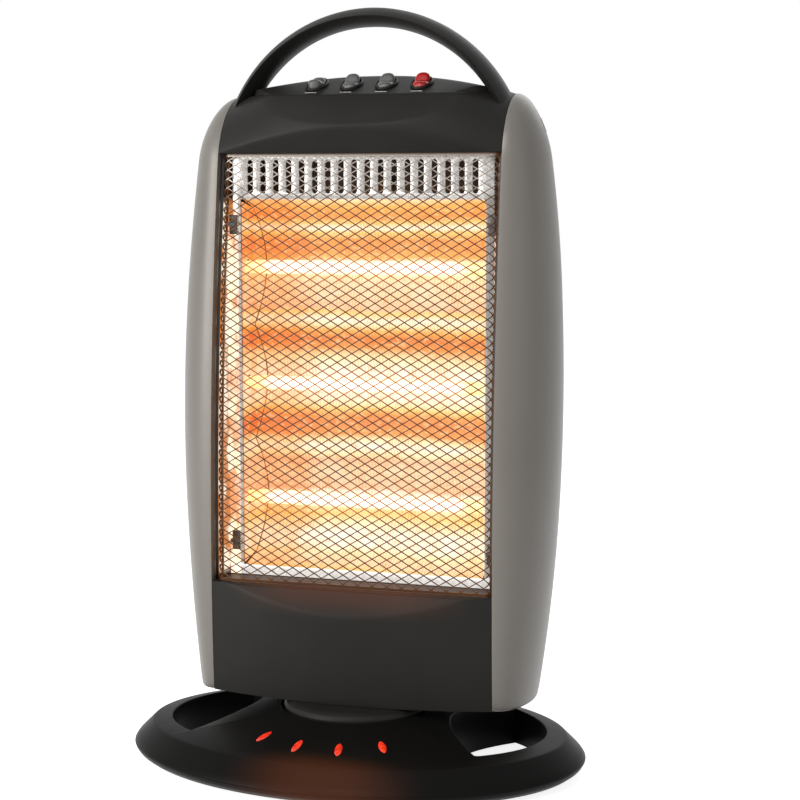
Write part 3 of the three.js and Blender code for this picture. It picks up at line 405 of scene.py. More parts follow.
def frame_with_painted_light(name):
    """The bright frame: silver with painted highlights, and a painted glow of the lamps on its outer upright
    strips.
    """
    look = Look(name)
    height, across = look.axis("Z"), look.axis("X")
    lines = look.noise(1300, 2, (1, 1, 0.05))
    outer = (across + 0.0955).size().between(0.0, 0.0052)
    left_strip = 1.0 - (across + 0.0930).between(-0.0008, 0.0008)
    right_strip = (across - 0.0972).between(-0.0006, 0.0006)
    below_vents = 1.0 - height.between(0.3995, 0.4045)
    bands = look.noise(75, 3, (1, 1, 0.6)).between(0.42, 0.58)
    glow = look.mix(bands, shade(ORANGE, 0.8), CREAM)
    silver = look.mix(outer, (0.6, 0.59, 0.575), (0.5, 0.49, 0.475))
    grey = across.between(0.0885, 0.0895) * below_vents
    look.set(Base_Color=look.mix(grey * 0.75, silver, (0.3, 0.295, 0.285)), Metallic=0.75)
    look.set(Roughness=0.28 + (lines - 0.5) * 0.2)
    # painted glow of the lamps on the outer upright strips
    tinted = look.mix((left_strip + right_strip) * below_vents, (0.0, 0.0, 0.0), glow)
    mottle = look.noise(330, 2).between(0.35, 0.65)
    # painted highlight: pale emission in mottled patches and over the strip below the opening
    pale = (1.0 - grey) * mottle * 0.15 + (1.0 - height.between(0.1335, 0.1365)) * 0.6
    look.set(Emission_Color=look.mix(pale, tinted, (1.0, 0.97, 0.93), "ADD"), Emission_Strength=1.0)
    return look.bump(lines, 0.00001).material


def browned_edge(name):
    """The folded edge of the reflector: blued at high temperature, with the light of the lamps beside it painted
    on as emission.
    """
    look = Look(name)
    stain = look.noise(60, 3).between(0.35, 0.65)
    look.set(Base_Color=look.mix(stain, (0.3, 0.13, 0.05), (0.4, 0.22, 0.1)), Metallic=0.6, Roughness=0.4)
    # painted glow of the lamps, as emission
    look.set(Emission_Color=look.mix(stain, (0.22, 0.07, 0.015), (0.75, 0.3, 0.09)), Emission_Strength=1.0)
    return look.material


def chassis_with_painted_shade_and_glow(name):
    """Dull sheet painted dark all over, as shade behind the vents; its walls beside the lamps carry a painted
    glow in orange and cream patches.
    """
    look = Look(name)
    dull = look.noise(28, 4)
    beside = (1.0 - look.axis("Z").between(0.396, 0.402)) * look.axis("Z").between(0.128, 0.134)
    edge = (look.axis("Z") - 0.15) ** 2.0 * 0.26 - 0.0113
    beside = beside * (1.0 - look.axis("Y").between(0.022, 0.034))
    beside = beside * (look.axis("Y") - edge).between(0.0005, 0.002)
    patches = look.noise(75, 3, (1, 1, 0.6)).between(0.4, 0.58)
    # painted shade: the whole sheet is made dark so that the vents behind the guard look shaded
    look.set(Base_Color=look.mix(dull, (0.045, 0.042, 0.04), (0.06, 0.055, 0.05)), Metallic=0.4)
    look.set(Roughness=0.5 + (dull - 0.5) * 0.15)
    # painted glow of the lamps on the walls beside them
    glow = look.mix(patches, shade(ORANGE, 0.7), (1.0, 0.86, 0.68))
    look.set(Emission_Color=look.mix(beside, (0.0, 0.0, 0.0), glow), Emission_Strength=1.0)
    return look.material


def lamp_glass(name):
    """A quartz tube so bright that it is nearly white along its middle, and warmer at its edges and ends.

    sin^2 of the height over the lamps' pitch is 0 on each lamp's axis and `edge` at the tube's outline.
    """
    edge = math.sin(math.pi * LAMP_RADIUS / LAMP_PITCH) ** 2
    look = Look(name)
    ends = look.axis("X").size().between(0.066, 0.08)
    off_axis = ((look.axis("Z") - LAMP_HEIGHTS[0] * MM) * (math.pi / (LAMP_PITCH * MM))).sine() ** 2.0
    ripple = look.noise(70, 3, (3, 1, 1)).between(0.35, 0.65)
    hot = look.mix(off_axis.between(edge * 0.02, edge * 0.65), WHITE, look.mix(ripple, CREAM, PINK))
    look.set(Base_Color=(0.9, 0.75, 0.55), Roughness=0.12)
    strength = bpy.context.scene.heater_colours.lamp_light
    look.set(Emission_Color=look.mix(ends, hot, shade(GOLD, 1.0 / strength)), Emission_Strength=strength)
    return look.material


def hot_wire(name):
    """Tungsten that glows nearly white."""
    look = Look(name)
    grain = look.noise(800, 2)
    look.set(Base_Color=look.mix(grain, (0.5, 0.45, 0.4), (0.6, 0.5, 0.4)), Metallic=0.6, Roughness=0.4)
    look.set(Emission_Color=look.mix(grain, (1.0, 0.85, 0.55), (1.0, 0.9, 0.7)), Emission_Strength=8.0)
    return look.material


def insert_with_painted_glow(name, colour):
    """Red plastic with a painted glow, as if lit from below, with cloudy lighter patches."""
    look = Look(name)
    cloud = look.noise(220, 3)
    tone = look.mix(cloud.between(0.35, 0.65), shade(colour, 0.6), (1.0, 0.06, 0.015))
    look.set(Base_Color=shade(colour, 0.5), Roughness=0.22 + cloud * 0.1, Coat_Weight=0.3)
    # painted glow: red emission, with no lamp under the inserts
    look.set(Emission_Color=tone, Emission_Strength=0.7)
    return look.bump(cloud, 0.0001).material


def guard_finish_with_painted_glow(name):
    """Nickel wire: bare in front of the vents and darker and browner below them, with a painted glow of each
    lamp on the wires in front of it and a faint painted orange glow on the rest.
    """
    look = Look(name)
    grain = look.noise(500, 2)
    # darker, browner patches on the wires below the vents
    brown_patches = look.noise(16, 3).between(0.35, 0.65)
    near_lamps = 1.0 - look.axis("Z").between(0.40, 0.415)
    tint = look.mix(brown_patches, (0.055, 0.03, 0.016), (0.03, 0.024, 0.02))
    look.set(Base_Color=look.mix(near_lamps, (0.2, 0.19, 0.175), tint), Metallic=0.85)
    look.set(Roughness=0.36 + (grain - 0.5) * 0.2)
    from_lamps = ((look.axis("Z") - 0.353) * (math.pi / 0.0816)).sine() ** 2.0
    inside = 1.0 - look.axis("X").size().between(0.075, 0.092)
    lit = (1.0 - from_lamps.between(0.02, 0.3)) * inside * near_lamps
    # painted glow: orange emission on the wires in front of each lamp, and a faint one on all of them
    look.set(Emission_Color=look.mix(lit, shade(ORANGE, 0.06), shade(ORANGE, 0.5)), Emission_Strength=1.0)
    return look.bump(grain, 0.00002).material


def lamp_glow_painted_area(look):
    """The crescent under the guard where a painted glow of the lamps tints it, strongest in its middle and at
    its top.
    """
    return look.axis("Z").between(0.106, 0.128) * (1.0 - look.axis("X").size().between(0.03, 0.1))


def insert_glow_painted_area(look):
    """The foot of the web in front of the inserts, where a painted red glow of the inserts tints it."""
    across = (look.axis("X") - 0.01).size().between(0.01, 0.075)
    return (1.0 - across) * (1.0 - look.axis("Y").between(-0.108, -0.086))


FINISHES = {}


def finish(name):
    """The material of a finish, made when it is first asked for."""
    if name not in FINISHES:
        colours = bpy.context.scene.heater_colours
        makers = {
            "black_plastic": lambda: moulded(name, tuple(colours.body), 0.46),
            # black plastic with a painted lamp glow on the crescent under the guard
            "warmed_black": lambda: moulded(name, tuple(colours.body), 0.46, painted_glow_area=lamp_glow_painted_area),
            # the body's black made darker for the base: painted shade, with a painted red glow of the inserts
            "lit_black": lambda: moulded(
                name, shade(colours.body, 0.32), 0.4, shine=0.055, painted_glow_area=insert_glow_painted_area),
            "grey_cover": lambda: satin_paint(name, tuple(colours.covers)),
            "grey_rocker": lambda: moulded(name, tuple(colours.rockers), 0.33, 0.000008, shine=0.45),
            "red_rocker": lambda: moulded(name, tuple(colours.swing_rocker), 0.3, 0.000008, shine=0.45),
            "red_insert": lambda: insert_with_painted_glow(name, tuple(colours.inserts)),
            "bright_sheet": lambda: frame_with_painted_light(name),
            "glowing_sheet": lambda: glowing_sheet(name),
            "guard_wire": lambda: guard_finish_with_painted_glow(name),
            "steel": lambda: metal(name, (0.42, 0.42, 0.41), 0.36),
            "dark_steel": lambda: metal(name, (0.12, 0.11, 0.105), 0.42, shine=0.8),
            "browned_edge": lambda: browned_edge(name),
            "chassis_sheet": lambda: chassis_with_painted_shade_and_glow(name),
            "ceramic": lambda: matt(name, (0.75, 0.7, 0.6), 0.6),
            "quartz": lambda: lamp_glass(name),
            "tungsten": lambda: hot_wire(name),
            "rubber": lambda: matt(name, (0.016, 0.016, 0.016), 0.82, 700),
            "phenolic": lambda: matt(name, (0.05, 0.03, 0.018), 0.55),
            "print": lambda: matt(name, (0.75, 0.75, 0.72), 0.6, 900),
        }
        FINISHES[name] = makers[name]()
    return FINISHES[name]


# ---------------------------------------------------------------- mesh helpers


def grid_quads(rows, columns, wrap_rows=False, wrap_columns=False):
    """Quads of a grid of points numbered row by row; a wrapped direction joins its last line to its first."""
    row = np.arange(rows if wrap_rows else rows - 1)
    column = np.arange(columns if wrap_columns else columns - 1)
    row, column = np.meshgrid(row, column, indexing="ij")
    next_row, next_column = (row + 1) % rows, (column + 1) % columns
    corners = [row * columns + column, row * columns + next_column,
               next_row * columns + next_column, next_row * columns + column]
    return np.stack(corners, -1).reshape(-1, 4)


class Skin:
    """Gathers grids of points, in millimetres, into one mesh."""

    def __init__(self):
        self.points, self.quads, self.count = [], [], 0

    def add(self, grid, wrap_rows=False, wrap_columns=False):
        """grid is (rows, columns, 3)."""
        rows, columns = grid.shape[:2]
        self.points.append(grid.reshape(-1, 3))
        self.quads.append(grid_quads(rows, columns, wrap_rows, wrap_columns) + self.count)
        self.count += rows * columns
        return self

    def tube(self, rings):
        """Adds rings of points as a tube, closed by the middle of its first and last ring."""
        ends = [rings[i].mean(axis=0) + 0 * rings[i] for i in (0, -1)]
        return self.add(np.concatenate([ends[0][None], rings, ends[1][None]]), wrap_columns=True)

    def mesh(self, name, merge=0.005, up=None):
        """Welds the grids' shared points, and turns the faces outwards, or towards `up` on an open sheet."""
        points = np.concatenate(self.points) * MM
        mesh = bpy.data.meshes.new(name)
        mesh.from_pydata(points.tolist(), [], np.concatenate(self.quads).tolist())
        tool = bmesh.new()
        tool.from_mesh(mesh)
        bmesh.ops.remove_doubles(tool, verts=tool.verts, dist=merge * MM)
        bmesh.ops.dissolve_degenerate(tool, edges=tool.edges, dist=merge * MM)
        bmesh.ops.recalc_face_normals(tool, faces=tool.faces)
        if up is None:
            wrong = tool.calc_volume(signed=True) < 0
        else:
            wrong = sum(face.normal.dot(Vector(up)) * face.calc_area() for face in tool.faces) < 0
        if wrong:
            bmesh.ops.reverse_faces(tool, faces=tool.faces)
        tool.to_mesh(mesh)
        tool.free()
        return mesh


def place(name, mesh, body, look, replaces=()):
    """Makes a piece of a mesh: it rides on a body, and may stand for CAD nodes."""
    piece = bpy.data.objects.new(name, mesh)
    bpy.context.scene.collection.objects.link(piece)
    mesh.materials.clear()
    mesh.materials.append(finish(look))
    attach(piece, body)
    if replaces:
        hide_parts(*replaces)
    return piece


def settle(piece, angle=33.0):
    """Applies a piece's modifiers and shades it smooth, but sharp at edges steeper than the angle."""
    bpy.context.view_layer.update()
    if piece.modifiers:
        graph = bpy.context.evaluated_depsgraph_get()
        mesh = bpy.data.meshes.new_from_object(piece.evaluated_get(graph))
        piece.modifiers.clear()
        piece.data = mesh
    mesh = piece.data
    mesh.polygons.foreach_set("use_smooth", np.ones(len(mesh.polygons), bool))
    mesh.set_sharp_from_angle(angle=math.radians(angle))
    mesh.update()
    return piece


def thicken(piece, thickness):
    """Gives an open sheet its wall, behind the side that its faces point to."""
    wall = piece.modifiers.new("wall", "SOLIDIFY")
    wall.thickness, wall.offset, wall.use_even_offset = thickness * MM, -1.0, True
    return piece


def round_edges(piece, width):
    """Rounds the edges that turn by more than 35 degrees, over a width in millimetres."""
    edge = piece.modifiers.new("edges", "BEVEL")
    edge.width, edge.segments, edge.limit_method = width * MM, 2, "ANGLE"
    edge.angle_limit = math.radians(35.0)
    edge.use_clamp_overlap = True
    edge.harden_normals = False
    return piece


def make_piece(skin, name, body, look, replaces=(), merge=0.02, up=None, wall=0.0, sharp=33.0):
    """Makes a finished piece of a skin; an open sheet states the side that it faces and its wall."""
    piece = place(name, skin.mesh(name, merge, up), body, look, replaces)
    if wall:
        thicken(piece, wall)
    return settle(piece, sharp)


def carve(piece, cutters):
    """Cuts closed meshes out of a piece."""
    tools = []
    for i, mesh in enumerate(cutters):
        tool = bpy.data.objects.new("cutter_%d" % i, mesh)
        bpy.context.scene.collection.objects.link(tool)
        hole = piece.modifiers.new("hole", "BOOLEAN")
        hole.operation, hole.solver, hole.object = "DIFFERENCE", "EXACT", tool
        tools.append(tool)
    settle(piece)
    for tool in tools:
        bpy.data.objects.remove(tool)
    return piece


def refined(node, body, look, width):
    """A CAD node's own form with its edges rounded and its curves shaded smooth."""
    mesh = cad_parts[node].data.copy()
    tool = bmesh.new()
    tool.from_mesh(mesh)
    bmesh.ops.remove_doubles(tool, verts=tool.verts, dist=0.000005)
    bmesh.ops.dissolve_limit(tool, angle_limit=math.radians(0.6), verts=tool.verts, edges=tool.edges)
    tool.to_mesh(mesh)
    tool.free()
    piece = place(node + "_finished", mesh, body, look, [node])
    if width:
        round_edges(piece, width)
    return settle(piece)


def soften(corners, reach, steps=4):
    """Rounds the inner corners of open polylines, given as (..., corners, 3).

    Each corner becomes a quadratic curve that leaves one side and joins the next one `reach` from the corner,
    never past the middle of a side. reach is one number or an array that ends in one value per inner corner.
    """
    before, at, after = corners[..., :-2, :], corners[..., 1:-1, :], corners[..., 2:, :]
    back, ahead = before - at, after - at
    long_back = np.maximum(np.linalg.norm(back, axis=-1), 1e-9)
    long_ahead = np.maximum(np.linalg.norm(ahead, axis=-1), 1e-9)
    reach = np.broadcast_to(np.asarray(reach, float), long_back.shape)
    start = at + back * (np.minimum(reach, 0.48 * long_back) / long_back)[..., None]
    end = at + ahead * (np.minimum(reach, 0.48 * long_ahead) / long_ahead)[..., None]
    t = np.linspace(0, 1, steps + 1)[:, None]
    curve = (1 - t) ** 2 * start[..., None, :] + 2 * t * (1 - t) * at[..., None, :]
    curve = curve + t ** 2 * end[..., None, :]
    curve = curve.reshape(*corners.shape[:-2], -1, 3)
    return np.concatenate([corners[..., :1, :], curve, corners[..., -1:, :]], axis=-2)


def densify(points, spacing):
    """Adds points along an open polyline (n, 2 or 3) so that none of its steps is longer than the spacing."""
    steps = np.linalg.norm(np.diff(points, axis=0), axis=1)
    counts = np.maximum(1, np.ceil(steps / spacing).astype(int))
    at = np.concatenate([i + np.arange(n) / n for i, n in enumerate(counts)] + [[len(points) - 1.0]])
    whole = np.minimum(at.astype(int), len(points) - 2)
    part = (at - whole)[:, None]
    return points[whole] * (1 - part) + points[whole + 1] * part


def stack(*values):
    """Broadcasts coordinates against each other and stacks them as points."""
    return np.stack(np.broadcast_arrays(*values), -1)


def circle(count):
    """The angles of that many points round a circle."""
    return np.arange(count) * 2 * math.pi / count


def turned(points, reach, columns):
    """A profile of (radius, height), its corners softened, turned round the swivel's axis as a grid."""
    profile = soften(np.asarray([(r, 0.0, z) for r, z in points], float), reach)
    turn = circle(columns)
    return stack(profile[:, :1] * np.cos(turn), profile[:, :1] * np.sin(turn), profile[:, 2:])


# ---------------------------------------------------------------- the head's outer form


def softly_more(a, b, softness):
    """The larger of two values, with a rounded corner where they cross."""
    return 0.5 * (a + b + np.sqrt((a - b) ** 2 + softness ** 2))


def softly_less(a, b, softness):
    """The smaller of two values, with a rounded corner where they cross."""
    return 0.5 * (a + b - np.sqrt((a - b) ** 2 + softness ** 2))


def rounding(z):
    """How far the top has drawn in: a quarter circle from 0 at the rounding's start to 1 at its top."""
    along = np.clip((z - ROUND_START) / (COVER_TOP - ROUND_START), 0, 1)
    return 1 - np.sqrt(1 - along ** 2)


def plain_front(z):
    """The front edge seen from the side: a shallow parabola, furthest forward at 150 mm."""
    return -18.0 + 0.00026 * (z - 150.0) ** 2


def front_line(z):
    """The side covers' front edge: the plain front, drawn back where the top is rounded."""
    return plain_front(z) + 40.0 * rounding(z)


def cover_bulge(z):
    """How far a side cover stands out: a parabola over the height, closed by the top's rounding."""
    return (36.2 - 0.00035 * (z - 257.0) ** 2) * (1 - rounding(z))


def rear_line(z):
    """The rear edge: upright, drawn in by a parabola near the floor, one near the top and the top's rounding."""
    low = 0.0008 * np.maximum(0, 180.0 - z) ** 2
    high = 0.0012 * np.maximum(0, np.minimum(z, COVER_TOP) - 345.0) ** 2
    return 86.0 - low - high - 14.0 * rounding(z)


def panel_front(x, z):
    """The black panels' face: a parabola across the width that stands forward in the middle."""
    across = np.minimum(1, (x / COVER_INNER) ** 2)
    return plain_front(z) + 40.0 * rounding(z) * across ** 1.2 - 15.0 * (1 - across)


def panel_rear(x, z):
    """The black panels' rear: a parabola across the width that stands back in the middle."""
    return rear_line(z) - 1.0 + 5.0 * (1 - (x / COVER_INNER) ** 2)


def cover_out(y, z):
    """Distance from the middle plane to a side cover's surface."""
    front, rear = front_line(z), rear_line(z)
    across = (y - (front + rear) / 2) / ((rear - front) / 2)
    return COVER_INNER + cover_bulge(z) * np.sqrt(np.maximum(0, 1 - across ** 2))


def cover_grid():
    """The right cover: at each height half an ellipse from the front edge round to the rear edge.

    Rows run up from the middle of the flat bottom over the bulge to the rounded top.
    """
    rise = np.sin(np.linspace(0, math.pi / 2, 40)[1:])
    up = np.concatenate([np.linspace(HEAD_BOTTOM, ROUND_START, 80),
                         ROUND_START + (COVER_TOP - GAP - ROUND_START) * rise])
    turn = np.linspace(0, math.pi, 73)
    z = up[:, None]
    front, rear = front_line(z), rear_line(z)
    middle, half = (front + rear) / 2, np.maximum(0.6, (rear - front) / 2)
    out = np.maximum(0.4, cover_bulge(z))
    round_part = stack(COVER_INNER + out * np.sin(turn), middle - half * np.cos(turn), z)
    flat = np.linspace(1, 0, 9)[1:-1]
    flat_part = stack(COVER_INNER - 0.01 + 0 * flat, front + (rear - front) * flat, z)
    body = np.concatenate([round_part, flat_part], axis=1)
    centre = body.mean(axis=1, keepdims=True)
    low, top = centre[0], centre[-1]
    fillet = [low + (body[0] - low) * share + np.array([0, 0, lift])
              for share, lift in ((0.0, 0.0), (0.9, 0.0), (0.965, 0.15), (0.99, 0.7))]
    first = body[0] + np.array([0, 0, 1.8])
    cap = top + 0 * body[-1]
    return np.concatenate([np.array(fillet), first[None], body[1:], cap[None]], axis=0)


def black_front(corners, reach, spacing, columns, rear):
    """A black panel from a side outline (Y, Z): each point is pushed back to the convex front where the
    outline stands before it, so that the outline's slopes become crescents. It is lowered to the crown."""
    soft = bpy.context.scene.heater_sizes.crease / MM
    outline = np.array([(0.0, y, z) for y, z in corners], float)
    outline = densify(soften(outline, reach, 5)[:, 1:], spacing)
    closeness = 0.98  # how strongly the columns gather towards the sides
    turn = np.linspace(-math.pi / 2, math.pi / 2, columns) * closeness
    x = BODY_HALF * np.sin(turn) / math.sin(math.pi / 2 * closeness)
    y, z = outline[:, :1] + 0 * x, outline[:, 1:] + 0 * x
    z = softly_less(z, CROWN_TOP - CROWN_FALL * x ** 2, soft)
    y = softly_more(y, panel_front(x, z), soft)
    if rear:
        y = softly_less(y, panel_rear(x, z), soft)
    return stack(x, y, z)


def close_ends(grid):
    """Adds a column at each end where the section shrinks to its middle."""
    first = grid[:, :1].mean(axis=0, keepdims=True) + 0 * grid[:, :1]
    last = grid[:, -1:].mean(axis=0, keepdims=True) + 0 * grid[:, -1:]
    return np.concatenate([first, grid, last], axis=1)


def deck_point(x, along, off):
    """A point on the sloping deck: along runs up it from the switches' middle, off leaves its surface."""
    y = DECK_ORIGIN[0] + along * math.cos(DECK_SLOPE) - off * math.sin(DECK_SLOPE)
    z = DECK_ORIGIN[1] + along * math.sin(DECK_SLOPE) + off * math.cos(DECK_SLOPE)
    return stack(x, y, z)


def deck_rings(x, rings, columns):
    """Ovals on the deck round a switch's middle; a ring is (half width, half length, height off the deck)."""
    half_x, half_y, off = np.array(rings, float).T[..., None]
    turn = circle(columns)
    return deck_point(x + half_x * np.cos(turn), half_y * np.sin(turn), off)


# ---------------------------------------------------------------- operators


class HEATER_OT_stage(bpy.types.Operator):
    """Camera, soft lights, white surroundings and a pale floor."""

    bl_idname = "heater.stage"
    bl_options = {"REGISTER", "UNDO"}
    bl_label = "Stage"

    def execute(self, context):
        scene = bpy.context.scene
        scene.view_settings.view_transform = "Standard"
        self.camera(scene)
        self.lights()
        self.surroundings(scene)
        self.floor()
        return {"FINISHED"}

    @staticmethod
    def camera(scene):
        azimuth, down = math.radians(17.0), math.radians(6.363)
        distance, aside, height = 1.303, 0.0311, 0.4046
        data = bpy.data.cameras.new("camera")
        data.lens, data.sensor_width, data.sensor_fit = 83.61, 36.0, "HORIZONTAL"
        data.clip_start, data.clip_end = 0.05, 50.0
        camera = bpy.data.objects.new("camera", data)
        camera.location = (distance * math.sin(azimuth) + aside * math.cos(azimuth),
                           -distance * math.cos(azimuth) + aside * math.sin(azimuth), height)
        camera.rotation_euler = (math.pi / 2 - down, 0, azimuth)
        scene.collection.objects.link(camera)
        scene.camera = camera

    @staticmethod
    def lights():
        for name, spot, target, size, power, tint in (
            ("key", (-1.6, -1.75, 0.85), (0, 0, 0.25), 1.3, 36.0, (1.0, 0.98, 0.95)),
            ("fill", (1.9, -0.9, 0.9), (0, 0, 0.25), 1.2, 1.5, (0.95, 0.97, 1.0)),
            ("top", (-0.15, -0.95, 1.25), (0, 0, 0.45), 0.5, 5.0, (1.0, 1.0, 1.0)),
            ("back", (0.3, 1.8, 1.5), (0, 0, 0.3), 1.2, 6.0, (1.0, 1.0, 1.0)),
        ):
            data = bpy.data.lights.new(name, "AREA")
            data.size, data.energy, data.color = size, power, tint
            light = bpy.data.objects.new(name, data)
            light.location = spot
            light.rotation_euler = (Vector(target) - Vector(spot)).to_track_quat("-Z", "Y").to_euler()
            bpy.context.scene.collection.objects.link(light)

    @staticmethod
    def surroundings(scene):
        world = bpy.data.worlds.new("white room")
        scene.world = world
        room = Nodes(world)
        seen = room.seen()
        plain = room.node("ShaderNodeBackground", {}, {"Color": (0.8, 0.8, 0.8), "Strength": 0.26})
        white = room.node("ShaderNodeBackground", {}, {"Color": (1, 1, 1), "Strength": 1.0})
        blend = room.node("ShaderNodeMixShader", {}, {0: seen, 1: plain.outputs[0], 2: white.outputs[0]})
        room.node("ShaderNodeOutputWorld", {}, {"Surface": blend.outputs[0]})

    @staticmethod
    def floor():
        mesh = bpy.data.meshes.new("floor")
        mesh.from_pydata([(-6, -6, 0), (6, -6, 0), (6, 6, 0), (-6, 6, 0)], [], [(0, 1, 2, 3)])
        floor = bpy.data.objects.new("floor", mesh)
        bpy.context.scene.collection.objects.link(floor)
        floor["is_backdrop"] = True
        look = Look("pale floor")
        white = look.mix(look.seen(), (0.0, 0.0, 0.0), (1.0, 1.0, 1.0))
        look.set(Base_Color=(0.9, 0.9, 0.9), Roughness=0.7, Emission_Color=white, Emission_Strength=0.85)
        mesh.materials.append(look.material)


def height_on_web(theta, s):
    """Between the facet line (s 0) and the swivel ring (s 1) the base's top is ruled along each direction."""
    x = ((BASE_X - FACET_INSET) * (1 - s) + RING_RADIUS * s) * np.cos(theta)
    y = ((BASE_Y - FACET_INSET) * (1 - s) + RING_RADIUS * s) * np.sin(theta)
    return stack(x, y, FACET_HEIGHT * (1 - s) + RING_TOP * s)


def smaller_root(a, b, c):
    """The root of a quadratic that is nearer to zero, in a form that also holds when a is nearly zero."""
    return 2 * c / (-b + np.sqrt(np.maximum(b * b - 4 * a * c, 0)))


def opening_limits(theta):
    """Where a half-moon opening starts and ends along each direction: the inner ellipse and the web's edge.

    Both are quadratics in s, because x and y are linear in s.
    """
    cos, sin = np.cos(theta), np.sin(theta)
    far_x, far_y = BASE_X - FACET_INSET, BASE_Y - FACET_INSET
    fall_x, fall_y = far_x - RING_RADIUS, far_y - RING_RADIUS
    half_x, half_y = BASE_X - RIM_WIDTH, BASE_Y - RIM_WIDTH
    p, q = (cos / half_x) ** 2, (sin / half_y) ** 2
    outer = smaller_root(p * fall_x ** 2 + q * fall_y ** 2, -2 * (p * far_x * fall_x + q * far_y * fall_y),
                         p * far_x ** 2 + q * far_y ** 2 - 1)
    tip_x, tip_y = half_x * math.cos(OPENING_TIP), half_y * math.sin(OPENING_TIP)
    k = (tip_x - WEB_HALF) / tip_y ** 2 * sin ** 2
    inner = smaller_root(-k * fall_y ** 2, -fall_x * cos + 2 * k * far_y * fall_y,
                         far_x * cos - WEB_HALF - k * far_y ** 2)
    return outer, inner


def opening_tip():
    """The direction, and the share of the way in, at which an opening's two edges meet."""
    tip = (BASE_X - RIM_WIDTH) * math.cos(OPENING_TIP), (BASE_Y - RIM_WIDTH) * math.sin(OPENING_TIP)
    s = np.linspace(0, 0.9, 40001)
    cos = tip[0] / (BASE_X - FACET_INSET - (BASE_X - FACET_INSET - RING_RADIUS) * s)
    sin = tip[1] / (BASE_Y - FACET_INSET - (BASE_Y - FACET_INSET - RING_RADIUS) * s)
    best = np.argmin(np.abs(cos ** 2 + sin ** 2 - 1))
    return math.atan2(sin[best], cos[best]), s[best]


def web_top(x, y):
    """Height of the base's top at a place; the share s of the ruling through it is found by halving."""
    low, high = np.zeros_like(x), np.ones_like(x)
    for _ in range(30):
        s = (low + high) / 2
        half_x = (BASE_X - FACET_INSET) * (1 - s) + RING_RADIUS * s
        half_y = (BASE_Y - FACET_INSET) * (1 - s) + RING_RADIUS * s
        within = np.hypot(x / half_x, y / half_y) < 1
        low, high = np.where(within, s, low), np.where(within, high, s)
    return FACET_HEIGHT * (1 - low) + RING_TOP * low


